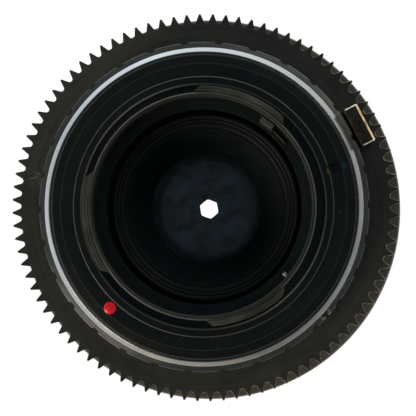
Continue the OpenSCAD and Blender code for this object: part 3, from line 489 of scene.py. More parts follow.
@dataclass(frozen=True)
class CastMetal(Finish):
    """Satin metal with grains and pits."""

    name: str
    base: Colour
    grain: Colour
    metallic: float
    roughness: float
    scale: float
    relief: float

    def paint(self, shader: Shader) -> None:
        """Grains of two sizes over clouds."""
        point = shader.place()[0]
        clouds = shader.noise(point, self.scale * 0.2, 3.0)
        grains = shader.noise(point, self.scale, 4.0, 0.7)
        tone = (grains * 0.7 + clouds * 0.5 - 0.1).step(0.35, 0.65)
        shader.set(Base_Color=shader.mix(tone, self.base, self.grain), Metallic=self.metallic,
                   Roughness=self.roughness + 0.15 * (grains - 0.5),
                   Normal=shader.bump(grains, self.relief))


@dataclass(frozen=True)
class Rubber(Finish):
    """Matt rubber with a fine skin and dust in it."""

    name: str
    base: Colour = (0.012, 0.012, 0.012)
    bloom: Colour = (0.035, 0.034, 0.033)
    roughness: float = 0.62
    specular: float = 0.35
    relief: float = 0.00002

    def paint(self, shader: Shader) -> None:
        """A grainy skin and a grey bloom."""
        point = shader.place()[0]
        skin = shader.noise(point, 3200.0, 3.0, 0.6)
        bloom = shader.noise(point, 180.0, 4.0, 0.6).step(0.4, 0.75)
        shader.set(Base_Color=shader.mix(bloom, self.base, self.bloom),
                   Roughness=self.roughness + 0.25 * (skin - 0.5),
                   Specular_IOR_Level=self.specular, Normal=shader.bump(skin, self.relief))


@dataclass(frozen=True)
class CoatedGlass(Finish):
    """Clear optical glass with a coating that tints its edge."""

    name: str
    index: float
    middle: Colour = (0.998, 0.999, 1.0)
    edge: Colour = (0.80, 0.86, 0.94)

    def paint(self, shader: Shader) -> None:
        """Clear in the middle and tinted where it is seen at a slant, with faint smears."""
        point = shader.place()[0]
        slant = shader.node("ShaderNodeLayerWeight", None, {"Blend": 0.35}, "Facing")
        smear = shader.noise(point, 120.0, 3.0).step(0.55, 0.85)
        shader.set(Base_Color=shader.mix(slant, self.middle, self.edge), Roughness=smear * 0.02,
                   IOR=self.index, Transmission_Weight=1.0)


@dataclass(frozen=True)
class BeadEnamel(Finish):
    """Glossy red of the index bead, darker in its middle, with a painted glow that makes it brighter than
    the lamps would.
    """

    name: str
    rim: Colour = (0.92, 0.020, 0.045)
    middle: Colour = (0.80, 0.013, 0.030)
    centre: tuple[float, float] = (0.0, 0.0)
    radius: float = 0.00125
    painted_glow: float = 0.28

    def paint(self, shader: Shader) -> None:
        """A ring of two reds round the bead's own middle, also given off as a painted glow."""
        point, x, y, _ = shader.place()
        off_x = x - self.centre[0]
        off_y = y - self.centre[1]
        reach = (off_x * off_x + off_y * off_y).math("SQRT") / self.radius
        grain = shader.noise(point, 2400.0, 2.0)
        tone = (reach + (grain - 0.5) * 0.3).step(0.35, 0.8)
        red = shader.mix(tone, self.middle, self.rim)
        # Painted light: the red is also emitted, though the bead is no lamp.
        shader.set(Base_Color=red, Roughness=0.22 + 0.1 * (grain - 0.5), Coat_Weight=0.6,
                   Coat_Roughness=0.12, Emission_Color=red, Emission_Strength=self.painted_glow)


@dataclass(frozen=True)
class Paint(Finish):
    """Paint in an engraved mark, with thin spots."""

    name: str
    base: Colour
    thin: Colour

    def paint(self, shader: Shader) -> None:
        """Thin spots by noise."""
        point = shader.place()[0]
        spots = shader.noise(point, 1500.0, 3.0).step(0.5, 0.75)
        shader.set(Base_Color=shader.mix(spots, self.base, self.thin), Roughness=0.5 + 0.2 * spots)


@dataclass(frozen=True)
class SlotFloor(Finish):
    """Black floor of the lock slot, brass-coloured at its inner end and with a painted bluish sheen at its
    outer one.
    """

    name: str
    brass: Colour = (0.62, 0.36, 0.15)
    blue_sheen: Colour = (0.17, 0.31, 0.35)
    black: Colour = (0.006, 0.007, 0.007)
    brass_end: tuple[float, float] = (0.0245, 0.0250)
    blue_sheen_start: tuple[float, float] = (0.0268, 0.0278)
    ragged: float = 0.0006

    def paint(self, shader: Shader) -> None:
        """Three colours by the distance from the axis, with ragged borders."""
        point, x, y, _ = shader.place()
        away = (x * x + y * y).math("SQRT") + (shader.noise(point, 1500.0, 3.0) - 0.5) * self.ragged
        # Brass-coloured towards the inner end.
        rubbed = shader.mix(away.step(*self.brass_end), self.brass, self.black)
        # Painted sheen: bluish towards the outer end.
        shader.set(Base_Color=shader.mix(away.step(*self.blue_sheen_start), rubbed, self.blue_sheen), Roughness=0.4)


class Finishes:
    """The finishes of this lens."""

    MOUNT = TurnedMetal("bezel_black", (0.0085, 0.0112, 0.0088), (0.0190, 0.0215, 0.0172), roughness=0.3,
                        dust=0.5, pitch=0.00025, specular=0.4)
    # Lighter bevels of the bezel: painted highlight lines along its edges, with rubbed patches.
    MOUNT_EDGE = RubbedEdgeAndHighlight("bezel_edge", (0.034, 0.033, 0.030), (0.12, 0.114, 0.105), cover=0.9)
    # Painted highlight line on the outer chamfer of the sleeve's rim.
    RIM_LINE = RubbedEdgeAndHighlight("rim_line", (0.036, 0.035, 0.031), (0.085, 0.082, 0.072), cover=0.9)
    # Painted highlight line on the seat's inward chamfer, which lies in the sleeve's shade.
    SEAT_LINE = RubbedEdgeAndHighlight("seat_line", (0.21, 0.205, 0.185), (0.42, 0.41, 0.37), cover=0.9, metallic=0.0)
    # Lighter band on the bezel's lip and on the groove's outward chamfer.
    LIP = RubbedEdgeAndHighlight("bezel_lip", (0.06, 0.058, 0.053), (0.13, 0.125, 0.112), cover=0.9, metallic=0.3)
    SLOT_FLOOR = SlotFloor("slot_floor")
    SLEEVE_RIM = TurnedMetal("sleeve_rim", (0.034, 0.033, 0.027), (0.056, 0.054, 0.045), metallic=0.3,
                             roughness=0.5, pitch=0.0002)
    LUG = TurnedMetal("lug_brown_grey", (0.045, 0.043, 0.034), (0.24, 0.225, 0.185), metallic=0.6,
                      roughness=0.45, pitch=0.0005, relief=0.00001)
    LUG_EDGE = RubbedEdgeAndHighlight("lug_edge", (0.06, 0.057, 0.048), (0.17, 0.155, 0.125), cover=0.7)
    SLEEVE = TurnedMetal("sleeve_black", (0.006, 0.006, 0.005), (0.016, 0.015, 0.012), roughness=0.4)
    POLISHED = TurnedMetal("trim_bright", (0.64, 0.65, 0.66), (0.76, 0.77, 0.77), metallic=1.0,
                           roughness=0.16, spread=0.08, relief=0.0000006)
    GREY = TurnedMetal("ring_grey", (0.21, 0.205, 0.187), (0.42, 0.400, 0.360), metallic=0.9,
                       roughness=0.43, relief=0.00001, brushed=0.97)
    GEAR = ScuffedMetal("gear_charcoal", (0.040, 0.042, 0.034), (0.094, 0.088, 0.070), roughness=0.45,
                        dust=0.3, pitch=0.0006, relief=0.000008, specular=0.4)
    # Painted highlight on the tooth bevels, kept to the side of the lens that faces the light.
    GEAR_EDGE_HIGHLIGHT = RubbedEdgeAndHighlight("gear_edge_painted_highlight", (0.034, 0.034, 0.029), (0.30, 0.255, 0.19), cover=0.78, side=24.0)
    BARREL = TurnedMetal("front_black", (0.020, 0.020, 0.018), (0.045, 0.044, 0.038), roughness=0.42,
                         dust=0.25, pitch=0.00018, specular=0.4)
    # Lighter outside edges of the front barrel: painted highlight of the lit rim, with rubbed patches.
    BARREL_EDGE = RubbedEdgeAndHighlight("front_edge", (0.10, 0.095, 0.080), (0.30, 0.26, 0.20), cover=0.6)
    # Painted light: a far lighter copy of the barrel's black for its rear face, so that it reads lit where
    # it shows in shade between the gear's teeth.
    BARREL_REAR_PAINTED_LIGHT = TurnedMetal("front_rear_face_painted_light", (0.14, 0.13, 0.108), (0.26, 0.24, 0.20), roughness=0.5,
                              pitch=0.0003)
    FLAT = TurnedMetal("flat_black", (0.013, 0.020, 0.022), (0.031, 0.042, 0.042), roughness=0.6,
                       pitch=0.0003, specular=0.25)
    CELL = TurnedMetal("cell_black", (0.021, 0.0255, 0.0230), (0.050, 0.053, 0.045), roughness=0.45,
                       pitch=0.0005, specular=0.35)
    CELL_EDGE = RubbedEdgeAndHighlight("cell_edge", (0.012, 0.014, 0.013), (0.046, 0.046, 0.040), cover=0.9)
    BLADE = TurnedMetal("blade_blue_black", (0.004, 0.005, 0.007), (0.012, 0.013, 0.016), metallic=0.3,
                        roughness=0.5)
    STEEL = CastMetal("satin_steel", (0.34, 0.34, 0.34), (0.5, 0.49, 0.48), 1.0, 0.35, 1800.0, 0.000005)
    DARK_STEEL = CastMetal("dark_steel", (0.04, 0.04, 0.042), (0.09, 0.09, 0.09), 0.8, 0.4, 1800.0,
                           0.000005)
    LEVER = CastMetal("lever_beige", (0.10, 0.097, 0.082), (0.20, 0.19, 0.16), 0.4, 0.5, 1600.0, 0.000008)
    BLOCK = CastMetal("block_bronze", (0.022, 0.018, 0.014), (0.11, 0.085, 0.060), 0.6, 0.42, 2400.0,
                      0.00002)
    # Painted golden reflection on the block's outer bevel.
    BLOCK_BEVEL_REFLECTION = RubbedEdgeAndHighlight("block_bevel_painted_reflection", (0.42, 0.26, 0.10), (0.90, 0.66, 0.38), cover=0.9, roughness=0.3)
    # Painted pale highlight on the block's upper end bevels.
    BLOCK_ENDS_HIGHLIGHT = RubbedEdgeAndHighlight("block_ends_painted_highlight", (0.36, 0.33, 0.28), (0.85, 0.82, 0.76), cover=0.9, roughness=0.3)
    # Painted light: a light bronze on the top band of the block's inner side, so that it reads lit.
    BLOCK_SIDE_PAINTED_LIGHT = CastMetal("block_side_painted_light", (0.42, 0.30, 0.18), (0.62, 0.46, 0.29), 0.0, 0.5, 2400.0,
                           0.00001)
    WIRE = CastMetal("wire_brown", (0.04, 0.031, 0.017), (0.11, 0.088, 0.05), 0.6, 0.4, 2600.0, 0.000004)
    BRASS = TurnedMetal("brass_turned", (0.42, 0.30, 0.11), (0.60, 0.45, 0.20), metallic=1.0, roughness=0.3)
    POLYMER = CastMetal("washer_white", (0.70, 0.69, 0.65), (0.82, 0.81, 0.78), 0.0, 0.5, 1500.0, 0.000005)
    RUBBER = Rubber("grip_black")
    CROWN = CoatedGlass("crown_glass", 1.46)
    FLINT = CoatedGlass("flint_glass", 1.2)
    WHITE = Paint("mark_white", (0.75, 0.75, 0.73), (0.45, 0.45, 0.44))


class Workpiece:
    """A bmesh that is shaped step by step and then kept as a piece of the lens."""

    def __init__(self) -> None:
        """Starts with nothing on the bench."""
        self.bm = bmesh.new()

    @classmethod
    def turned(cls, outline: Outline, closed: bool = True, steps: int = 192) -> "Workpiece":
        """Spins an outline once round the axis.

        Args:
            outline: Points of radius and height in millimetres.
            closed: Whether the outline closes on itself, as a ring's does.
            steps: Sides of the full turn.

        Returns:
            The turned piece.
        """
        work = cls()
        verts = [work.bm.verts.new((r * MM, 0.0, z * MM)) for r, z in outline]
        ends = verts[1:] + verts[:1] if closed else verts[1:]
        edges = [work.bm.edges.new(pair) for pair in zip(verts, ends)]
        bmesh.ops.spin(work.bm, geom=verts + edges, cent=ORIGIN, axis=AXIS, angle=math.tau, steps=steps,
                       use_merge=True)
        return work.tidy()

    @classmethod
    def toothed(cls, pitch: Outline, count: int, phase: float, high: float, low: float,
                inner: Outline) -> "Workpiece":
        """A ring with teeth, made from one tooth that is turned into all of them.

        Args:
            pitch: Points of radius and angle of one tooth, in millimetres and degrees.
            count: Number of teeth.
            phase: Angle of the first tooth's middle.
            high: Height of the upper face.
            low: Height of the lower face.
            inner: Points of radius and height of the bore, from the upper face down.

        Returns:
            The toothed ring.
        """
        work = cls()
        angles = [math.radians(phase + a) for _, a in pitch]
        rims = [[r] * len(pitch) for r, _ in inner]
        levels = [z for _, z in inner] + [low, high]
        outer = [r for r, _ in pitch]
        verts = [work.bm.verts.new(cls.at(r, a, high)) for r, a in zip(outer, angles)]
        edges = [work.bm.edges.new(pair) for pair in zip(verts, verts[1:])]
        for radii, level in zip(rims + [outer, outer], levels):
            moved = bmesh.ops.extrude_edge_only(work.bm, edges=edges)["geom"]
            edges = [item for item in moved if isinstance(item, bmesh.types.BMEdge)]
            fresh = [item for item in moved if isinstance(item, bmesh.types.BMVert)]
            for vert in fresh:
                turn = math.atan2(vert.co.y, vert.co.x)
                place = min(range(len(angles)), key=lambda i: abs(cls.wrap(angles[i] - turn)))
                vert.co = cls.at(radii[place], angles[place], level)
        bmesh.ops.spin(work.bm, geom=work.everything(), cent=ORIGIN, axis=AXIS,
                       angle=math.tau * (count - 1) / count, steps=count - 1, use_duplicate=True)
        return work.tidy()

    @staticmethod
    def wrap(angle: float) -> float:
        """The angle between minus and plus half a turn."""
        return math.remainder(angle, math.tau)

    @staticmethod
    def at(radius: float, angle: float, height: float) -> Vector:
        """A point in metres from a radius and a height in millimetres and an angle in radians."""
        return Vector((radius * math.cos(angle), radius * math.sin(angle), height)) * MM

    @classmethod
    def bar(cls, size: Sequence[float], place: Matrix) -> "Workpiece":
        """A rectangular bar.

        Args:
            size: Its three lengths in millimetres.
            place: Where its middle goes, in millimetres.

        Returns:
            The bar.
        """
        work = cls()
        bmesh.ops.create_cube(work.bm, size=1.0, matrix=place @ Matrix.Diagonal((*size, 1.0)))
        bmesh.ops.scale(work.bm, vec=(MM, MM, MM), verts=work.bm.verts)
        return work

    @classmethod
    def rod(cls, radius: float, length: float, place: Matrix, sides: int = 32) -> "Workpiece":
        """A round rod.

        Args:
            radius: Its radius in millimetres.
            length: Its length in millimetres.
            place: Where its middle goes, in millimetres, with the rod along Z.
            sides: Number of its sides.

        Returns:
            The rod.
        """
        work = cls()
        bmesh.ops.create_cone(work.bm, cap_ends=True, segments=sides, radius1=radius, radius2=radius,
                              depth=length, matrix=place)
        bmesh.ops.scale(work.bm, vec=(MM, MM, MM), verts=work.bm.verts)
        return work

    def everything(self) -> list[Any]:
        """All vertices, edges and faces."""
        return [*self.bm.verts, *self.bm.edges, *self.bm.faces]

    def tidy(self) -> "Workpiece":
        """Merges doubles and turns the faces outwards."""
        bmesh.ops.remove_doubles(self.bm, verts=self.bm.verts, dist=MERGE)
        bmesh.ops.recalc_face_normals(self.bm, faces=self.bm.faces)
        return self

    def soften(self, width: float, limit: float = 25.0, segments: int = 2, bevel_finish: int = 0,
               pick: Callable[[bmesh.types.BMEdge], bool] | None = None) -> "Workpiece":
        """Bevels the sharp edges.

        Args:
            width: Width of the bevel in millimetres.
            limit: Smallest angle of an edge that counts as sharp, in degrees.
            segments: Steps of the bevel.
            bevel_finish: Place of the finish that the bevels get.
            pick: Says of an edge whether it takes part.

        Returns:
            This piece.
        """
        least = math.radians(limit)
        edges = [e for e in self.bm.edges if e.calc_face_angle(0.0) > least and (pick is None or pick(e))]
        made = bmesh.ops.bevel(self.bm, geom=edges, offset=width * MM, offset_type="OFFSET",
                               segments=segments, profile=0.5, affect="EDGES", clamp_overlap=True,
                               material=-1)
        for face in made["faces"]:
            face.material_index = bevel_finish
        return self

    def join(self, other: "Workpiece", index: int = 0) -> "Workpiece":
        """Takes another piece into this one.

        Args:
            other: The piece, which is used up.
            index: Added to the places of its finishes.

        Returns:
            This piece.
        """
        mesh = bpy.data.meshes.new("joined")
        for face in other.bm.faces:
            face.material_index += index
        other.bm.to_mesh(mesh)
        other.bm.free()
        self.bm.from_mesh(mesh)
        bpy.data.meshes.remove(mesh)
        return self

    def solid(self, name: str) -> bpy.types.Object:
        """The piece as a plain object in the scene."""
        mesh = bpy.data.meshes.new(name)
        self.bm.to_mesh(mesh)
        made = bpy.data.objects.new(name, mesh)
        bpy.context.scene.collection.objects.link(made)
        return made

    def cut(self, cutter: "Workpiece") -> "Workpiece":
        """Takes the cutter's shape out of this piece.

        Args:
            cutter: A closed shape, which is used up.

        Returns:
            This piece.
        """
        body, tool = self.solid("cut_body"), cutter.solid("cut_tool")
        change = body.modifiers.new("cut", "BOOLEAN")
        change.operation = "DIFFERENCE"
        change.solver = "EXACT"
        change.object = tool
        seen = body.evaluated_get(bpy.context.evaluated_depsgraph_get())
        result = bpy.data.meshes.new_from_object(seen)
        self.bm.clear()
        self.bm.from_mesh(result)
        cutter.bm.free()
        for used in (body, tool):
            old = used.data
            bpy.data.objects.remove(used)
            bpy.data.meshes.remove(old)
        bpy.data.meshes.remove(result)
        return self

    def keep(self, name: str, finishes: Sequence[Finish], unit: Unit, slot: Slot,
             nodes: Sequence[str] = (), sharp: float = 32.0) -> bpy.types.Object:
        """Turns the work into a piece of the lens.

        Args:
            name: The piece's name.
            finishes: Its finishes, in the order of the faces' material places.
            unit: The body that it rides on.
            slot: The record's slot for its finish; not used.
            nodes: CAD nodes that it stands for.
            sharp: Smallest angle of an edge that stays sharp, in degrees.

        Returns:
            The finished object.
        """
        for face in self.bm.faces:
            face.smooth = True
        for edge in self.bm.edges:
            edge.smooth = edge.calc_face_angle(0.0) < math.radians(sharp)
        made = self.solid(name)
        self.bm.free()
        even = made.modifiers.new("even", "WEIGHTED_NORMAL")
        even.keep_sharp = True
        for finish in finishes:
            made.data.materials.append(finish.material())
        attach(made, unit.value)
        if nodes:
            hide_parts(*nodes)
        log.info("%s: %d faces on %s", name, len(made.data.polygons), unit.value)
        return made


def arc(bend: float, rim: float, rim_z: float, steps: int = 20) -> list[tuple[float, float]]:
    """Points of a spherical face from its middle out to its rim.

    Args:
        bend: Radius of the face, negative where it is hollow seen from above.
        rim: Radius at the rim.
        rim_z: Height of the rim.
        steps: Number of steps.

    Returns:
        Points of radius and height.
    """
    size = abs(bend)
    drop = math.sqrt(size * size - rim * rim)
    radii = [rim * i / steps for i in range(steps + 1)]
    heights = [math.sqrt(size * size - r * r) - drop for r in radii]
    return [(r, rim_z + math.copysign(h, bend)) for r, h in zip(radii, heights)]


def grooves(first: float, last: float, height: float, count: int,
            depth: float) -> list[tuple[float, float]]:
    """Points of shallow V grooves on a flat turned face.

    Args:
        first: Radius where the face starts.
        last: Radius where it ends.
        height: Height of the face.
        count: Number of grooves.
        depth: Their depth.

    Returns:
        Points of radius and height, without the face's own ends.
    """
    step = (last - first) / (count + 1)
    rows = []
    for i in range(1, count + 1):
        middle = first + i * step
        rows += [(middle - depth, height), (middle, height - depth), (middle + depth, height)]
    return rows


def spot(radius: float, angle: float, height: float) -> Matrix:
    """A place in millimetres whose X axis points away from the lens's axis.

    Args:
        radius: Distance from the axis.
        angle: Angle round the axis in degrees.
        height: Height.

    Returns:
        The matrix of that place.
    """
    return Matrix.Rotation(math.radians(angle), 4, "Z") @ Matrix.Translation((radius, 0.0, height))


def radial(radius: float, angle: float, height: float) -> Matrix:
    """The place that spot gives, turned so that its Z axis points away from the lens's axis."""
    return spot(radius, angle, height) @ Matrix.Rotation(math.pi / 2, 4, "Y")


@dataclass
class RearMount:
    """The bayonet mount with its lugs, lock slot, trim ring, index bead and sleeve pin."""

    wall: float = 0.9
    groove_w: float = 1.8
    groove_depth: float = 1.6
    seat_w: float = 1.7
    seat_step: float = 0.6
    flat_w: float = 2.45
    slope_w: float = 2.0
    slope_fall: float = 0.4
    lip_in: float = 0.42
    lip_w: float = 0.28
    edge: float = 0.3
    seat_break: float = 0.16
    rim: float = 1.25
    skirt_step: float = 1.97
    flange: float = 2.6
    undercut: float = 0.45
    bezel_round: float = 0.07
    rim_share: float = 1.5
    room: float = 1.7
    lug_reach: float = 1.2
    lug_thick: float = 1.6
    lug_setback: float = 0.25
    lug_slant: float = 2.0
    lug_lines: int = 2
    lug_line_depth: float = 0.08
    lug_round: float = 0.12
    lug_spans: tuple[tuple[float, float], ...] = ((86.6, 139.9), (204.7, 261.0), (314.1, 361.2))
    slot_a: float = 60.0
    slot_size: tuple[float, float, float] = (4.2, 2.0, 1.2)
    slot_out: float = 1.5
    slot_round: float = 0.98
    bead_a: float = 271.1
    bead_gap: float = 0.04
    bead_hole: float = 2.0
    bead_dome: float = 2.2
    seat_fit: float = 0.02
    trim_bevel: float = 0.85
    trim_rim: float = 0.22
    trim_break: float = 0.1
    trim_round: float = 0.05
    pin_d: float = 0.9
    pin_a: float = 4.2
    pin_out: float = 0.8
    pin_cover: float = 0.1
    pin_round: float = 0.16
    reach: Extent = field(default_factory=lambda: Extent.of("bayonet_mount"))

    def __post_init__(self) -> None:
        """Works the radii out from the bezel's own."""
        self.seat_r = self.reach.radius - self.slope_w - self.flat_w
        self.groove_r = self.seat_r - self.seat_w
        self.sleeve_r = self.groove_r - self.groove_w
        self.well_r = self.sleeve_r - self.wall
        self.bezel_z = -self.seat_step
        self.rim_z = self.bezel_z - self.rim

    def build(self) -> None:
        """Makes every piece of the mount."""
        self.bezel()
        self.lugs()
        self.trim()
        self.bead()
        self.pin()

    def bezel(self) -> None:
        """The turned body with its sleeve, groove, seat and bezel, and the lock slot in it."""
        reach, edge = self.reach, self.edge
        skirt_r = reach.radius - self.skirt_step
        flange_r = reach.radius - self.undercut
        room_r, room_z = self.well_r + self.room, reach.low + self.room
        outline = [(room_r, reach.low), (room_r, room_z), (self.well_r, room_z),
                   (self.well_r, reach.high - edge), (self.well_r + edge, reach.high),
                   (self.sleeve_r - edge, reach.high), (self.sleeve_r, reach.high - edge),
                   (self.sleeve_r, -self.groove_depth), (self.groove_r, -self.groove_depth),
                   (self.groove_r, -edge), (self.groove_r + edge, 0.0), (self.seat_r - self.seat_break, 0.0),
                   (self.seat_r, -self.seat_break), (self.seat_r, self.bezel_z),
                   (self.seat_r + self.flat_w, self.bezel_z), *self.slope(), (reach.radius, self.rim_z),
                   (flange_r, self.rim_z), (flange_r, -self.flange), (skirt_r, -self.flange),
                   (skirt_r, reach.low)]
        work = Workpiece.turned(outline).soften(self.bezel_round, limit=8.0, bevel_finish=BezelFinish.EDGE)
        self.mark_edges(work)
        work.cut(self.slot_cutter())
        floor_z = self.bezel_z - self.slot_size[2]
        for face in work.bm.faces:
            if all(abs(v.co.z - floor_z * MM) < MERGE for v in face.verts):
                face.material_index = BezelFinish.SLOT_FLOOR
        hole = self.bead_place() @ Matrix.Translation((0.0, 0.0, self.bezel_z))
        work.cut(Workpiece.rod(self.bead_radius() + self.bead_gap, self.bead_hole, hole))
        finishes = [Finishes.MOUNT, Finishes.MOUNT_EDGE, Finishes.SLEEVE_RIM, Finishes.RIM_LINE,
                    Finishes.SEAT_LINE, Finishes.LIP, Finishes.SLOT_FLOOR]
        work.keep("mount_bezel", finishes, Unit.BARREL, Slot.BLACK, ["bayonet_mount"])

    def slope(self) -> list[tuple[float, float]]:
        """Points down the bezel's slope, with the two sides of the lighter lip band beside the trim ring."""
        ways = (self.slope_w - self.lip_in, self.slope_w - self.lip_in + self.lip_w, self.slope_w)
        inner = self.reach.radius - self.slope_w
        return [(inner + way, self.bezel_z - self.slope_fall * way / self.slope_w) for way in ways]

    def mark_edges(self, work: Workpiece) -> None:
        """Gives the sleeve's rim, the bezel's lip and the chamfers of rim and seat their own finishes.

        Args:
            work: The turned bezel.
        """
        lip_r = self.reach.radius - self.lip_in
        for face in work.bm.faces:
            middle = face.calc_center_median()
            away = middle.xy.length / MM
            outward = face.normal.xy.dot(middle.xy) > 0.0
            slanted = abs(face.normal.z) < LEVEL
            if min(v.co.z for v in face.verts) > (self.reach.high - self.rim_share * self.edge) * MM:
                # The rim's outer chamfer takes a painted highlight line.
                face.material_index = BezelFinish.RIM_LINE if slanted and outward else BezelFinish.RIM
            elif slanted and middle.z > -self.edge * MM and self.groove_r < away < self.seat_r:
                # The seat's inward chamfer takes a painted highlight line.
                face.material_index = BezelFinish.LIP if outward else BezelFinish.SEAT_LINE
            elif face.normal.z > LEVEL and lip_r < away < lip_r + self.lip_w:
                face.material_index = BezelFinish.LIP

    def slot_cutter(self) -> Workpiece:
        """A round-ended bar that stands as far over the bezel as the slot is deep."""
        length, width, depth = self.slot_size
        work = Workpiece.bar((length, width, 2 * depth), Matrix.Identity(4))
        corners = [e for e in work.bm.edges if abs(e.verts[0].co.z - e.verts[1].co.z) > depth * MM]
        bmesh.ops.bevel(work.bm, geom=corners, offset=self.slot_round * width / 2 * MM, offset_type="OFFSET",
                        segments=8, profile=0.5, affect="EDGES", clamp_overlap=True, material=-1)
        work.tidy()
        place = spot(self.seat_r + self.slot_out, self.slot_a, self.bezel_z)
        place.translation *= MM
        bmesh.ops.transform(work.bm, matrix=place, verts=work.bm.verts)
        return work

    def bead_place(self) -> Matrix:
        """Where the bead's axis stands."""
        low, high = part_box("index_bead")
        return spot(-(low.y + high.y) / 2 / MM, self.bead_a, 0.0)

    def bead_radius(self) -> float:
        """Half the bead's width."""
        low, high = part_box("index_bead")
        return (high.x - low.x) / 2 / MM

    def lugs(self) -> None:
        """Three lugs with slanted ends, cut from turned segments."""
        work = Workpiece()
        face = self.reach.high - self.lug_setback
        low_r, high_r = self.sleeve_r - self.wall / 2, self.sleeve_r + self.lug_reach
        for first, last in self.lug_spans:
            work.join(self.lug(first, last, low_r, high_r, face))
        work.soften(self.lug_round, limit=60.0, bevel_finish=1, pick=self.lug_edge)
        work.keep("bayonet_lugs", [Finishes.LUG, Finishes.LUG_EDGE], Unit.BARREL, Slot.BLACK)

    def lug_edge(self, edge: bmesh.types.BMEdge) -> bool:
        """Whether an edge of a lug lies outside its fine grooves."""
        inner = (self.sleeve_r + self.lug_reach - self.edge) * MM
        return all(v.co.xy.length > inner for v in edge.verts)

    def lug(self, first: float, last: float, low_r: float, high_r: float, face: float) -> Workpiece:
        """One lug.

        Args:
            first: Angle of its first end at the root.
            last: Angle of its other end.
            low_r: Radius of its root.
            high_r: Radius of its outer face.
            face: Height of its rear face.

        Returns:
            The closed lug.
        """
        work = Workpiece()
        rows = grooves(low_r, high_r, face, self.lug_lines, self.lug_line_depth)
        corners = [(low_r, face - self.lug_thick), (high_r, face - self.lug_thick), (high_r, face),
                   *reversed(rows), (low_r, face)]
        verts = [work.bm.verts.new(Workpiece.at(r, math.radians(first), z)) for r, z in corners]
        start = work.bm.faces.new(verts)
        bmesh.ops.spin(work.bm, geom=[start, *start.edges, *start.verts], cent=ORIGIN, axis=AXIS,
                       angle=math.radians(last - first), steps=24)
        slant = math.degrees(self.lug_slant / high_r)
        for end, turn in ((first, slant), (last, -slant)):
            root = Workpiece.at(low_r, math.radians(end), face)
            tip = Workpiece.at(high_r, math.radians(end + turn), face)
            normal = (tip - root).cross(Vector(AXIS)) * math.copysign(1.0, turn)
            bmesh.ops.bisect_plane(work.bm, geom=work.everything(), plane_co=root, plane_no=normal,
                                   clear_outer=True, dist=MERGE)
            rim = [e for e in work.bm.edges if e.is_boundary]
            bmesh.ops.contextual_create(work.bm, geom=rim)
        return work.tidy()

    def trim(self) -> None:
        """The polished ring round the bezel."""
        ring = Extent.of("mount_trim_ring")
        bore = self.reach.radius + self.seat_fit
        outline = [(bore, ring.low), (ring.radius, ring.low), (ring.radius, ring.low + self.trim_rim),
                   (ring.radius - self.trim_bevel, ring.high), (bore + self.trim_break, ring.high),
                   (bore, ring.high - self.trim_break)]
        work = Workpiece.turned(outline, steps=256).soften(self.trim_round, limit=20.0, segments=2)
        work.keep("trim_ring", [Finishes.POLISHED], Unit.BARREL, Slot.POLISHED, ["mount_trim_ring"])

    def bead(self) -> None:
        """The domed red bead in its hole."""
        low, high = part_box("index_bead")
        radius = self.bead_radius()
        dome = arc(self.bead_dome, radius, 0.0, 10)
        top = high.z / MM - dome[0][1]
        outline = [(r, top + z) for r, z in dome] + [(radius, low.z / MM), (0.0, low.z / MM)]
        work = Workpiece.turned(outline, closed=False, steps=48)
        shift = self.bead_place().translation * MM
        bmesh.ops.translate(work.bm, vec=shift, verts=work.bm.verts)
        enamel = BeadEnamel("bead_red", centre=(shift.x, shift.y), radius=radius * MM)
        work.keep("red_index_bead", [enamel], Unit.BARREL, Slot.BEAD, ["index_bead"])

    def pin(self) -> None:
        """The small pin in the sleeve's wall, with a rounded end."""
        start, end = self.well_r - self.pin_out, self.sleeve_r - self.pin_cover
        place = radial((start + end) / 2, self.pin_a, Extent.of("sleeve_pin").middle)
        work = Workpiece.rod(self.pin_d / 2, end - start, place, 24)
        work.soften(self.pin_round, limit=60.0, segments=3)
        work.keep("sleeve_wall_pin", [Finishes.STEEL], Unit.BARREL, Slot.STEEL, ["sleeve_pin"])


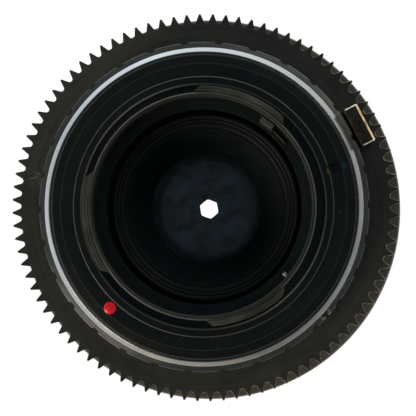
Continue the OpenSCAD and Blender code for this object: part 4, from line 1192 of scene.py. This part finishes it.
@dataclass
class ApertureRing:
    """The fluted ring behind the focus gear, with its stop scale."""

    wall: float = 2.3
    edge: float = 0.08
    flutes: int = 30
    flute_depth: float = 0.5
    flute_r: float = 0.85
    flute_len: float = 3.0
    flute_phase: float = 8.55
    hole_d: float = 1.0
    hole_depth: float = 1.2
    sink_d: float = 2.2
    hole_a: float = 2.4
    hole_inset: float = 0.1
    over: float = 0.5
    keys: int = 3
    key_d: float = 1.6
    key_a: float = 80.0
    key_reach: float = 8.0
    stops: tuple[str, ...] = ("22", "16", "11", "8", "5.6", "4", "2.8", "2")
    stop_step: float = 6.0
    scale_a: float = 266.0
    scale_rise: float = 1.55
    number_size: float = 1.5
    reach: Extent = field(default_factory=lambda: Extent.of("aperture_ring"))

    def build(self) -> None:
        """Turns the ring, cuts its flutes and holes and marks its scale."""
        reach, edge = self.reach, self.edge
        bore = reach.radius - self.wall
        outline = [(bore, reach.low), (reach.radius - edge, reach.low), (reach.radius, reach.low + edge),
                   (reach.radius, reach.high - edge), (reach.radius - edge, reach.high), (bore, reach.high)]
        work = Workpiece.turned(outline, steps=180)
        work.cut(self.flute_cutter())
        work.cut(self.hole_cutter())
        work.keep("aperture_ring_body", [Finishes.GREY], Unit.APERTURE, Slot.GREY, ["aperture_ring"])
        scale = Scale(reach.radius, reach.low + self.scale_rise, self.number_size)
        marks = [(text, self.scale_a + i * self.stop_step) for i, text in enumerate(self.stops)]
        scale.numbers("stop_numbers", marks, Finishes.WHITE, Unit.APERTURE, Slot.GREY)

    def flute_cutter(self) -> Workpiece:
        """All flutes as one set of upright rods."""
        work = Workpiece()
        for i in range(self.flutes):
            place = spot(self.reach.radius - self.flute_depth + self.flute_r,
                         self.flute_phase + i * 360 / self.flutes,
                         self.reach.high + (self.over - self.flute_len) / 2)
            work.join(Workpiece.rod(self.flute_r, self.flute_len + self.over, place, 24))
        return work

    def hole_cutter(self) -> Workpiece:
        """The countersunk hole in the rear face and the three holes of the keys."""
        reach = self.reach
        place = spot(reach.radius - self.hole_d / 2 - self.hole_inset, self.hole_a, reach.high)
        outline = [(0.0, -self.hole_depth), (self.hole_d / 2, -self.hole_depth),
                   (self.hole_d / 2, (self.hole_d - self.sink_d) / 2), (self.sink_d / 2, 0.0),
                   (self.sink_d / 2 + self.over, self.over), (0.0, self.over)]
        work = Workpiece.turned(outline, closed=False, steps=32)
        place.translation *= MM
        bmesh.ops.transform(work.bm, matrix=place, verts=work.bm.verts)
        height = Extent.of("aperture_keys").middle
        for i in range(self.keys):
            turn = radial(reach.radius, self.key_a + i * 360 / self.keys, height)
            work.join(Workpiece.rod(self.key_d / 2, self.key_reach, turn, 24))
        return work


@dataclass
class Scale:
    """Numbers and lines painted round a cylinder, read with the front of the lens up."""

    radius: float
    height: float
    size: float
    proud: float = 0.02
    line_w: float = 0.16
    line_share: float = 0.5
    line_shift: float = -0.8

    def bend(self, bm: bmesh.types.BMesh, angle: float) -> None:
        """Lays a flat mesh in millimetres round the cylinder.

        Args:
            bm: The mesh, in its own plane.
            angle: Angle of its middle round the axis in degrees.
        """
        for vert in bm.verts:
            turn = math.radians(angle) - vert.co.x / self.radius
            vert.co = Workpiece.at(self.radius + vert.co.z, turn, self.height - vert.co.y)

    def number(self, text: str, angle: float) -> Workpiece:
        """One number.

        Args:
            text: Its digits.
            angle: Its place round the axis in degrees.

        Returns:
            The number as a raised mesh.
        """
        curve = bpy.data.curves.new("digits", "FONT")
        curve.body = text
        curve.size = self.size
        curve.align_x = "CENTER"
        curve.align_y = "CENTER"
        curve.extrude = self.proud
        curve.resolution_u = 3
        holder = bpy.data.objects.new("digits", curve)
        bpy.context.scene.collection.objects.link(holder)
        mesh = bpy.data.meshes.new_from_object(holder.evaluated_get(bpy.context.evaluated_depsgraph_get()))
        work = Workpiece()
        work.bm.from_mesh(mesh)
        bpy.data.objects.remove(holder)
        bpy.data.curves.remove(curve)
        bpy.data.meshes.remove(mesh)
        self.bend(work.bm, angle)
        return work

    def line(self, angle: float, width: float, length: float, shift: float) -> Workpiece:
        """One line along the axis.

        Args:
            angle: Its place round the axis in degrees.
            width: Its width.
            length: Its length.
            shift: Distance of its middle from the numbers' middle, towards the front.

        Returns:
            The line as a raised mesh.
        """
        work = Workpiece()
        place = Matrix.Translation((0.0, shift, 0.0)) @ Matrix.Diagonal((width, length, 2 * self.proud, 1.0))
        bmesh.ops.create_cube(work.bm, size=1.0, matrix=place)
        self.bend(work.bm, angle)
        return work

    def numbers(self, name: str, marks: Sequence[tuple[str, float]], finish: Finish, unit: Unit,
                slot: Slot) -> None:
        """A row of numbers, each with a line over it.

        Args:
            name: Name of the piece.
            marks: Pairs of a text and an angle.
            finish: Its paint.
            unit: The body that it rides on.
            slot: The slot, handed on to keep.
        """
        work = Workpiece()
        for text, angle in marks:
            work.join(self.number(text, angle))
            length, shift = self.line_share * self.size, self.line_shift * self.size
            work.join(self.line(angle, self.line_w, length, shift))
        work.keep(name, [finish], unit, slot)


@dataclass
class FocusUnit:
    """The focus ring with its gear, stop block, distance scale and rubber grip."""

    teeth: int = 92
    phase: float = 2.36
    module: float = 0.8
    crest: float = 0.32
    root_share: float = 0.7
    root_turn: float = 75.0
    root_fill: float = 0.08
    root_points: int = 8
    dedendum: float = 1.25
    tooth_break: float = 0.11
    lip: float = 0.85
    lip_r: float = 31.66
    block_inset: float = 0.32
    seat_r: float = 33.0
    fit: float = 0.02
    block_a: float = 71.4
    block_size: tuple[float, float, float] = (2.7, 7.7, 8.0)
    block_bevel: float = 0.4
    block_break: float = 0.22
    block_shine: float = 1.3
    ribs: int = 72
    rib_depth: float = 0.8
    rib_shoulder: float = 0.2
    rib_crown: float = 0.04
    rib_round: float = 0.18
    scale_z: float = -23.45
    number_size: float = 2.2
    distances: tuple[tuple[str, float], ...] = (
        ("0.4", 168.0), ("0.45", 186.0), ("0.5", 202.0), ("0.6", 222.0), ("0.7", 237.0), ("0.8", 248.0),
        ("1", 262.0), ("1.2", 272.0), ("1.5", 282.0), ("2", 292.0), ("3", 303.0), ("5", 313.0),
        ("10", 321.0), ("∞", 328.0))

    def build(self) -> None:
        """Makes every piece of the focus unit that shows."""
        self.gear()
        self.block()
        self.scale()
        self.grip()

    def gear(self) -> None:
        """The follow-focus gear: narrow crests, wide round roots and edges with a painted highlight on the
        side of the lens that faces the light.
        """
        reach = Extent.of("follow_focus_gear")
        pitch_a = 360.0 / self.teeth
        tip = self.module * (self.teeth / 2 + 1)
        root = self.module * (self.teeth / 2 - self.dedendum) + self.root_fill
        fillet = self.root_share * self.module
        half = self.valley(root, fillet, pitch_a)
        side = math.degrees(self.crest / 2 / tip)
        outline = [*half, (tip, -side), (tip, side), *[(r, -a) for r, a in reversed(half)]]
        bore = self.seat_r + self.fit
        step_z = reach.high - self.lip
        inner = [(self.lip_r, reach.high), (self.lip_r, step_z), (bore, step_z), (bore, reach.low)]
        work = Workpiece.toothed(outline, self.teeth, self.phase, reach.high, reach.low, inner)
        ends = (reach.high * MM, reach.low * MM)
        # Bevels of both faces take the painted edge highlight.
        work.soften(self.tooth_break, limit=50.0, segments=1, bevel_finish=1, pick=lambda e: any(
            all(abs(v.co.z - end) < MERGE and v.co.xy.length > bore * MM + 2 * MERGE for v in e.verts)
            for end in ends))
        work.keep("focus_gear", [Finishes.GEAR, Finishes.GEAR_EDGE_HIGHLIGHT], Unit.FOCUS, Slot.GEAR,
                  ["follow_focus_gear"], sharp=15.0)

    def valley(self, root: float, fillet: float, pitch_a: float) -> list[tuple[float, float]]:
        """The half of a round root that leads from its middle to the next tooth.

        Args:
            root: Radius of the roots.
            fillet: Radius of a root's own round.
            pitch_a: Angle from one tooth to the next.

        Returns:
            Points of radius and angle.
        """
        centre = root + fillet
        rows = []
        for i in range(self.root_points + 1):
            turn = math.radians(self.root_turn * i / self.root_points)
            rows.append((centre - fillet * math.cos(turn),
                         -pitch_a / 2 + math.degrees(fillet * math.sin(turn) / centre)))
        return rows

    def block(self) -> None:
        """The bronze stop block on the gear's rear face, with a broad bevel on its outer side that carries a
        painted golden reflection, painted pale highlights on its upper end bevels and painted light on the
        top band of its inner side.
        """
        reach = Extent.of("focus_stop_block")
        middle_r = self.lip_r + self.block_inset + self.block_size[0] / 2
        place = spot(middle_r, self.block_a, reach.middle)
        work = Workpiece.bar(self.block_size, place)
        away = place.to_3x3() @ Vector((1.0, 0.0, 0.0))
        along = place.to_3x3() @ Vector((0.0, 1.0, 0.0))
        middle = place.translation * MM
        top = [e for e in work.bm.edges if all(v.co.z > middle.z for v in e.verts)]
        outer = [e for e in top if all((v.co - middle).dot(away) > 0.0 for v in e.verts)]
        # The outer top bevel takes the painted golden reflection.
        work.soften(self.block_bevel, segments=1, bevel_finish=BlockFinish.BEVEL, pick=lambda e: e in outer)
        work.soften(self.block_break, limit=50.0, segments=1)
        shine_z = (reach.high - self.block_shine) * MM
        bmesh.ops.bisect_plane(work.bm, geom=work.everything(), plane_co=(0.0, 0.0, shine_z),
                               plane_no=AXIS, dist=MERGE)
        # The upper end bevels take a painted pale highlight; the top band of the inner side takes painted
        # light.
        for face in work.bm.faces:
            if abs(face.normal.dot(along)) > SLANT and face.normal.z > SLANT:
                face.material_index = BlockFinish.ENDS
            elif face.normal.dot(away) < -LEVEL and face.calc_center_median().z > shine_z:
                face.material_index = BlockFinish.INNER_SIDE
        finishes = [Finishes.BLOCK, Finishes.BLOCK_BEVEL_REFLECTION, Finishes.BLOCK_ENDS_HIGHLIGHT, Finishes.BLOCK_SIDE_PAINTED_LIGHT]
        work.keep("stop_block", finishes, Unit.FOCUS, Slot.BLOCK, ["focus_stop_block"], sharp=15.0)

    def scale(self) -> None:
        """The distance numbers on the focus ring's scale band."""
        scale = Scale(Extent.of("focus_ring").radius, self.scale_z, self.number_size)
        scale.numbers("distance_numbers", self.distances, Finishes.WHITE, Unit.FOCUS, Slot.BARREL)

    def grip(self) -> None:
        """The ribbed rubber grip."""
        reach = Extent.of("focus_grip")
        pitch_a = 360.0 / self.ribs
        shoulder = -self.rib_shoulder * self.rib_depth
        rows = ((0.02, -self.rib_depth), (0.12, shoulder), (0.24, 0.0), (0.5, self.rib_crown), (0.76, 0.0),
                (0.88, shoulder), (0.98, -self.rib_depth), (1.02, -self.rib_depth))
        outline = [(reach.radius - self.rib_crown + drop, share * pitch_a) for share, drop in rows]
        bore = self.seat_r + self.fit
        inner = [(bore, reach.high), (bore, reach.low)]
        work = Workpiece.toothed(outline, self.ribs, 0.0, reach.high, reach.low, inner)
        work.soften(self.rib_round, limit=50.0, segments=2)
        work.keep("rubber_grip", [Finishes.RUBBER], Unit.FOCUS, Slot.RUBBER, ["focus_grip"])


@dataclass
class FrontBarrel:
    """The front barrel with its turned lines, filter thread and screw holes."""

    wall: float = 1.9
    bore: float = 29.02
    throat: float = 27.5
    shoulder: float = 9.87
    web: float = 2.0
    trap_step: float = 1.18
    filter_depth: float = 5.0
    thread_pitch: float = 0.75
    thread_depth: float = 0.4
    line_z: float = 7.63
    line_pitch: float = 0.95
    line_w: float = 0.7
    lines: int = 3
    edge: float = 0.3
    taper: float = 3.5
    screws: int = 3
    screw_d: float = 2.5
    screw_a: float = 90.0
    screw_reach: float = 24.0
    rim_in: float = 0.2
    rounding: float = 0.08
    reach: Extent = field(default_factory=lambda: Extent.of("front_barrel"))

    def build(self) -> None:
        """Turns the barrel and drills its screw holes."""
        reach, edge = self.reach, self.edge
        thread_r = reach.radius - self.wall
        trap_r = thread_r - self.trap_step
        trap_z = reach.low + self.filter_depth
        step_z = reach.high - self.shoulder
        outline = [(self.bore, reach.high), (reach.radius - 2 * edge, reach.high),
                   (reach.radius - edge, reach.high - edge), (reach.radius, reach.high - self.taper),
                   *self.line_points(), (reach.radius, reach.low + edge), (reach.radius - edge, reach.low),
                   (thread_r + edge, reach.low), *self.thread_points(thread_r),
                   (thread_r, trap_z), (trap_r, trap_z), (trap_r, step_z - self.web),
                   (self.throat, step_z - self.web), (self.throat, step_z), (self.bore, step_z)]
        work = Workpiece.turned(outline, steps=256)
        # The outside edges take the lighter edge finish, a painted highlight of the lit rim.
        work.soften(self.rounding, limit=28.0, bevel_finish=1, pick=self.outside)
        finishes = [Finishes.BARREL, Finishes.BARREL_EDGE, Finishes.BARREL_REAR_PAINTED_LIGHT]
        # The rear face takes the painted lit copy of the barrel's black.
        for face in work.bm.faces:
            if min(v.co.z for v in face.verts) > (reach.high - 2 * edge) * MM:
                face.material_index = finishes.index(Finishes.BARREL_REAR_PAINTED_LIGHT)
        drill = Workpiece()
        height = Extent.of("front_barrel_screws").middle
        for i in range(self.screws):
            turn = radial(reach.radius, self.screw_a + i * 360 / self.screws, height)
            drill.join(Workpiece.rod(self.screw_d / 2, self.screw_reach, turn, 32))
        work.cut(drill)
        work.keep("front_barrel_body", finishes, Unit.BARREL, Slot.BARREL, ["front_barrel"])

    def outside(self, edge: bmesh.types.BMEdge) -> bool:
        """Whether an edge lies on the outer face or the rim."""
        inner = (self.reach.radius - self.wall + self.rim_in) * MM
        return all(math.hypot(v.co.x, v.co.y) > inner for v in edge.verts)

    def line_points(self) -> list[tuple[float, float]]:
        """Points of the turned lines, from the rear on."""
        rows = []
        half = self.line_w / 2
        for i in reversed(range(self.lines)):
            middle = self.reach.low + self.line_z + i * self.line_pitch
            rows += [(self.reach.radius, middle + half), (self.reach.radius - half, middle),
                     (self.reach.radius, middle - half)]
        return rows

    def thread_points(self, thread_r: float) -> list[tuple[float, float]]:
        """Points of the filter thread, from the rim inwards."""
        rows = [(thread_r, self.reach.low + self.edge)]
        turns = int((self.filter_depth - 2 * self.edge) / self.thread_pitch)
        for i in range(turns):
            start = self.reach.low + self.edge + i * self.thread_pitch
            rows += [(thread_r + self.thread_depth, start + self.thread_pitch / 2),
                     (thread_r, start + self.thread_pitch)]
        return rows


@dataclass
class OpticUnit:
    """The rear cell, its retaining ring and the glass elements."""

    neck_r: float = 18.2
    neck_len: float = 4.0
    retainer_r: float = 15.5
    ledge_depth: float = 3.1
    lip_depth: float = 1.1
    glass_r: float = 12.4
    clear_r: float = 10.9
    bore_lip: float = 0.95
    sink: float = 0.5
    edge: float = 0.3
    glass_gap: float = 0.05
    fit: float = 0.02
    mouth: float = 0.4
    neck_lines: int = 2
    neck_line_depth: float = 0.12
    cell_round: float = 0.05
    cone_steps: int = 9
    cone_step: float = 0.06
    ring_round: float = 0.04
    elements: tuple[tuple[str, float, float, float, Finish], ...] = (
        ("rear_element", 12.4, 45.0, 90.0, Finishes.CROWN),
        ("rear_inner_element", 12.4, -70.0, -70.0, Finishes.FLINT),
        ("front_element", 22.0, -140.0, 60.0, Finishes.CROWN),
        ("front_second_element", 19.0, -60.0, 90.0, Finishes.CROWN),
        ("front_inner_element", 15.0, -120.0, -120.0, Finishes.FLINT))

    def build(self) -> None:
        """Makes the pieces that show in the well and all the glass."""
        self.cell()
        self.retainer()
        for element in self.elements:
            self.element(*element)

    def cell(self) -> None:
        """The rear cell with fine rings on its neck."""
        reach = Extent.of("rear_cell")
        step_z = reach.high - self.neck_len
        ledge_z = step_z - self.ledge_depth
        bore = self.glass_r + self.glass_gap
        seat = self.retainer_r + self.fit
        mouth = seat + self.mouth
        face = grooves(mouth, self.neck_r - self.edge, reach.high, self.neck_lines, self.neck_line_depth)
        outline = [(bore - self.bore_lip, reach.low), (reach.radius, reach.low), (reach.radius, step_z),
                   (self.neck_r, step_z), (self.neck_r, reach.high - self.edge),
                   (self.neck_r - self.edge, reach.high), *reversed(face), (mouth, reach.high),
                   (seat, reach.high - self.mouth), (seat, ledge_z), (bore, ledge_z),
                   (bore, reach.low + self.bore_lip), (bore - self.bore_lip, reach.low + self.bore_lip)]
        work = Workpiece.turned(outline).soften(self.cell_round, limit=20.0, bevel_finish=1)
        work.keep("rear_cell_body", [Finishes.CELL, Finishes.CELL_EDGE], Unit.OPTIC, Slot.FLAT,
                  ["rear_cell"])

    def retainer(self) -> None:
        """The ring that holds the rear element, with fine steps on its cone."""
        reach = Extent.of("rear_retaining_ring")
        lip_z = reach.low
        ledge_z = lip_z + self.lip_depth + self.fit
        cone = [(self.retainer_r - self.sink, reach.high), (self.clear_r, lip_z + self.sink)]
        rows = []
        for i in range(1, self.cone_steps):
            share = i / self.cone_steps
            r = cone[0][0] + (cone[1][0] - cone[0][0]) * share
            z = cone[0][1] + (cone[1][1] - cone[0][1]) * share
            rows += [(r + self.cone_step, z), (r, z - self.cone_step)]
        outline = [(self.clear_r, lip_z), (self.glass_r, lip_z), (self.glass_r, ledge_z),
                   (self.retainer_r, ledge_z), (self.retainer_r, reach.high), cone[0], *rows, cone[1]]
        work = Workpiece.turned(outline).soften(self.ring_round, limit=50.0, bevel_finish=1)
        work.keep("rear_ring", [Finishes.FLAT, Finishes.CELL_EDGE], Unit.OPTIC, Slot.FLAT,
                  ["rear_retaining_ring"])

    def element(self, node: str, radius: float, top: float, bottom: float, glass: Finish) -> None:
        """One glass element with polished faces.

        Args:
            node: The CAD node that it stands for.
            radius: Its rim.
            top: Bend of its rear face, negative where hollow.
            bottom: Bend of its front face, negative where hollow.
            glass: Its kind of glass.
        """
        reach = Extent.of(node)
        high = reach.high - max(0.0, arc(top, radius, 0.0)[0][1])
        low = reach.low + max(0.0, arc(bottom, radius, 0.0)[0][1])
        upper = arc(top, radius, high)
        lower = [(r, 2 * low - z) for r, z in arc(bottom, radius, low)]
        work = Workpiece.turned([*upper, *reversed(lower)], closed=False, steps=96)
        work.keep(node + "_glass", [glass], Unit.OPTIC, Slot.GLASS, [node])


@dataclass
class StopDownLever:
    """The lever ring in the mount with its tab and wire hook."""

    ring_in: float = 18.65
    thick: float = 1.4
    tab_a: float = 95.8
    tab_w: float = 2.9
    tab_r: tuple[float, float] = (19.1, 20.15)
    hook_arc: float = 14.0
    hook_rise: float = 1.6
    wire_d: float = 0.5
    post_share: float = 0.45
    rounding: float = 0.08
    tab_round: float = 0.2

    def build(self) -> None:
        """Makes the ring, the tab and the hook."""
        reach = Extent.of("stop_down_lever")
        top = reach.low + self.thick
        ring = [(self.ring_in, reach.low), (reach.radius, reach.low), (reach.radius, top),
                (self.ring_in, top)]
        work = Workpiece.turned(ring).soften(self.rounding, bevel_finish=1)
        middle = sum(self.tab_r) / 2
        place = spot(middle, self.tab_a, (reach.high + reach.low + self.thick / 2) / 2)
        size = (self.tab_r[1] - self.tab_r[0], self.tab_w, reach.high - reach.low - self.thick / 2)
        finishes = [Finishes.FLAT, Finishes.CELL_EDGE, Finishes.LEVER]
        tab = Workpiece.bar(size, place).soften(self.tab_round, limit=60.0, segments=3)
        work.join(tab, finishes.index(Finishes.LEVER))
        work.keep("lever_with_tab", finishes, Unit.LEVER, Slot.DARK_STEEL, ["stop_down_lever"])
        self.hook(middle, top + self.wire_d / 2)

    def hook(self, radius: float, height: float) -> None:
        """The wire that leads from the tab along the ring and turns up at its end.

        Args:
            radius: Distance of the wire from the axis.
            height: Height of the wire.
        """
        work = Workpiece()
        start = self.tab_a - math.degrees(self.tab_w / 2 / radius)
        turn = spot(radius, start, height) @ Matrix.Rotation(math.pi / 2, 4, "X")
        made = bmesh.ops.create_circle(work.bm, cap_ends=True, segments=16, radius=self.wire_d / 2,
                                       matrix=turn)
        bmesh.ops.scale(work.bm, vec=(MM, MM, MM), verts=work.bm.verts)
        face = made["verts"][0].link_faces[0]
        sweep = self.tab_a - self.hook_arc - start
        bmesh.ops.spin(work.bm, geom=[face, *face.edges, *face.verts], cent=ORIGIN, axis=AXIS,
                       angle=math.radians(sweep), steps=16)
        work.tidy()
        post = spot(radius, self.tab_a - self.hook_arc, height + self.hook_rise / 2)
        post_r = self.post_share * self.wire_d
        work.join(Workpiece.rod(post_r, self.hook_rise, post, 16).soften(self.rounding, limit=60.0))
        work.keep("lever_wire_hook", [Finishes.WIRE], Unit.LEVER, Slot.WIRE, ["lever_hook"])


@dataclass
class InnerParts:
    """CAD nodes that stay as they are and get a finish and smooth faces."""

    weld: float = 0.000002
    split: float = 32.0
    finishes: tuple[tuple[Finish, tuple[str, ...]], ...] = (
        (Finishes.DARK_STEEL, ("mount_screws", "front_barrel_screws", "aperture_keys")),
        (Finishes.SLEEVE, ("fixed_barrel", "lever_retainer", "optic_barrel")),
        (Finishes.STEEL, ("lever_retainer_screws", "gear_screws", "iris_cam_pin")),
        (Finishes.POLYMER, ("rear_thrust_washer", "front_thrust_washer")),
        (Finishes.BARREL, ("focus_ring",)),
        (Finishes.GEAR, ("focus_stop_tab",)),
        (Finishes.FLAT, ("front_light_trap", "rear_spacer", "front_spacer", "iris_base_plate",
                         "iris_cover_ring", "front_retaining_ring")),
        (Finishes.CELL, ("front_cell",)),
        (Finishes.WIRE, ("lever_spring",)),
        (Finishes.BRASS, ("cam_pins", "iris_drive_ring", "iris_cam_ring")),
        (Finishes.BLADE, tuple(f"iris_blade_{i}" for i in range(1, 7))))

    def build(self) -> None:
        """Gives every such node its finish."""
        for finish, names in self.finishes:
            for name in names:
                self.dress(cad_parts[name], finish)

    def dress(self, node: bpy.types.Object, finish: Finish) -> None:
        """Assigns a finish and adds the modifiers that smooth the round faces.

        Args:
            node: The CAD node's object.
            finish: Its finish.
        """
        node.data.materials.clear()
        node.data.materials.append(finish.material())
        for face in node.data.polygons:
            face.use_smooth = True
        weld = node.modifiers.new("weld", "WELD")
        weld.merge_threshold = self.weld
        split = node.modifiers.new("split", "EDGE_SPLIT")
        split.split_angle = math.radians(self.split)
        log.info("%s: CAD node in %s", node.name, finish.name)


@dataclass(frozen=True)
class Softbox:
    """A square area light that looks at the mount from one side."""

    name: str
    angle: float
    rise: float
    distance: float
    size: float
    power: float
    colour: Colour

    def hang(self) -> None:
        """Puts the light in the scene."""
        light = bpy.data.lights.new(self.name, "AREA")
        light.shape = "SQUARE"
        light.size = self.size
        light.energy = self.power
        light.color = self.colour
        holder = bpy.data.objects.new(self.name, light)
        turn, rise = math.radians(self.angle), math.radians(self.rise)
        away = Vector((math.cos(turn) * math.cos(rise), math.sin(turn) * math.cos(rise), math.sin(rise)))
        holder.location = away * self.distance
        holder.rotation_euler = away.to_track_quat("Z", "Y").to_euler()
        bpy.context.scene.collection.objects.link(holder)


@dataclass
class Studio:
    """The pale floor, the soft light and the camera over the mount."""

    floor_size: float = 4.0
    floor_drop: float = 0.00002
    floor_glow: float = 0.93
    floor_tones: tuple[Colour, Colour] = ((0.46, 0.46, 0.46), (0.52, 0.52, 0.52))
    floor_clouds: float = 40.0
    lamp: float = 1.5
    lamp_share: float = 0.7
    eye: tuple[float, float, float] = (0.012831, 0.004913, 0.307621)
    roll: float = 43.8
    tilt: tuple[float, float] = (0.01644, 0.0382)
    focal: float = 1632.6
    image_w: float = 416.0
    sensor: float = 36.0
    clip: tuple[float, float] = (0.01, 20.0)
    zenith: Colour = (0.062, 0.082, 0.078)
    pane: Colour = (0.108, 0.155, 0.215)
    pane_scale: float = 9.0
    pane_edge: tuple[float, float] = (0.47, 0.56)
    zenith_rise: tuple[float, float] = (0.75, 0.97)
    dusk_rise: tuple[float, float] = (0.3, 0.6)
    dusk: Colour = (0.012, 0.012, 0.012)
    horizon: tuple[tuple[float, Colour], ...] = (
        (21.0, (0.25, 0.255, 0.235)), (66.0, (0.33, 0.32, 0.29)), (111.0, (0.70, 0.75, 0.75)),
        (156.0, (0.90, 1.0, 1.08)), (200.0, (0.42, 0.46, 0.48)), (246.0, (0.54, 0.58, 0.60)),
        (291.0, (0.43, 0.39, 0.32)), (336.0, (0.17, 0.155, 0.135)))
    boxes: tuple[Softbox, ...] = (
        Softbox("far_side", 98.0, 35.0, 0.70, 0.50, 0.45, (0.95, 0.98, 1.0)),
        Softbox("low_side", 266.0, 30.0, 0.70, 0.40, 1.25, (1.0, 0.91, 0.80)))

    def build(self) -> None:
        """Makes the floor, the light and the camera."""
        self.floor()
        self.sky()
        for box in self.boxes:
            box.hang()
        self.camera()
        view = bpy.context.scene.view_settings
        view.view_transform = "Standard"
        view.look = "None"

    def floor(self) -> None:
        """A pale floor that glows evenly, as a light table does."""
        work = Workpiece()
        bmesh.ops.create_grid(work.bm, x_segments=8, y_segments=8, size=self.floor_size / 2)
        drop = cad_box[0].z - self.floor_drop
        bmesh.ops.translate(work.bm, vec=(0.0, 0.0, drop), verts=work.bm.verts)
        plate = work.solid("floor")
        work.bm.free()
        shader = Shader("pale_floor")
        point, x, y, _ = shader.place()
        tone = shader.noise(point, self.floor_clouds, 2.0)
        colour = shader.mix(tone, *self.floor_tones)
        under = 1 - ((x * x + y * y).math("SQRT") / (cad_box[1].x * self.lamp_share)).step(0.9, 1.0)
        glow = shader.mix(under, (1.0, 1.0, 1.0), (self.lamp, self.lamp, self.lamp))
        shader.set(Base_Color=colour, Roughness=0.8, Emission_Color=glow, Emission_Strength=self.floor_glow)
        plate.data.materials.append(shader.material)

    def sky(self) -> None:
        """Soft light that is pale and uneven near the floor and dim overhead."""
        world = bpy.data.worlds.new("studio")
        bpy.context.scene.world = world
        world.use_nodes = True
        shader = Shader.of_tree(world.node_tree)
        way = shader.node("ShaderNodeTexCoord", output="Generated")
        split = shader.node("ShaderNodeSeparateXYZ", None, {0: way})
        x, y, rise = (Value(shader, socket) for socket in split.socket.node.outputs)
        share = (y.math("ARCTAN2", x) / math.tau).math("FRACT")
        first, last = self.horizon[0], self.horizon[-1]
        seam = tuple((a + b) / 2 for a, b in zip(first[1], last[1]))
        stops = [(0.0, seam), *((angle / 360, colour) for angle, colour in self.horizon), (1.0, seam)]
        low = shader.node("ShaderNodeValToRGB", {"stops": stops}, {0: share})
        panes = shader.noise(way, self.pane_scale, 1.0).step(*self.pane_edge)
        high = shader.mix(rise.step(*self.zenith_rise), self.dusk, shader.mix(panes, self.zenith, self.pane))
        light = shader.mix(rise.step(*self.dusk_rise), low, high)
        back = shader.node("ShaderNodeBackground", None, {0: light})
        shader.node("ShaderNodeOutputWorld", None, {0: back}, None)

    def camera(self) -> None:
        """The camera over the mount, a little off the axis."""
        data = bpy.data.cameras.new("camera")
        data.sensor_width = self.sensor
        data.lens = self.focal * self.sensor / self.image_w
        data.clip_start, data.clip_end = self.clip
        holder = bpy.data.objects.new("camera", data)
        holder.location = self.eye
        turn = Matrix.Rotation(math.radians(self.roll), 3, "Z")
        turn = turn @ Matrix.Rotation(self.tilt[1], 3, "Y") @ Matrix.Rotation(self.tilt[0], 3, "X")
        holder.rotation_euler = turn.to_euler()
        bpy.context.scene.collection.objects.link(holder)
        bpy.context.scene.camera = holder


def main() -> None:
    """Builds the lens piece by piece and sets the studio round it."""
    logging.basicConfig(level=logging.INFO, format="%(name)s %(message)s")
    for part in (RearMount(), ApertureRing(), FocusUnit(), FrontBarrel(), OpticUnit(), StopDownLever(),
                 InnerParts(), Studio()):
        part.build()


if __name__ == "__main__":
    main()
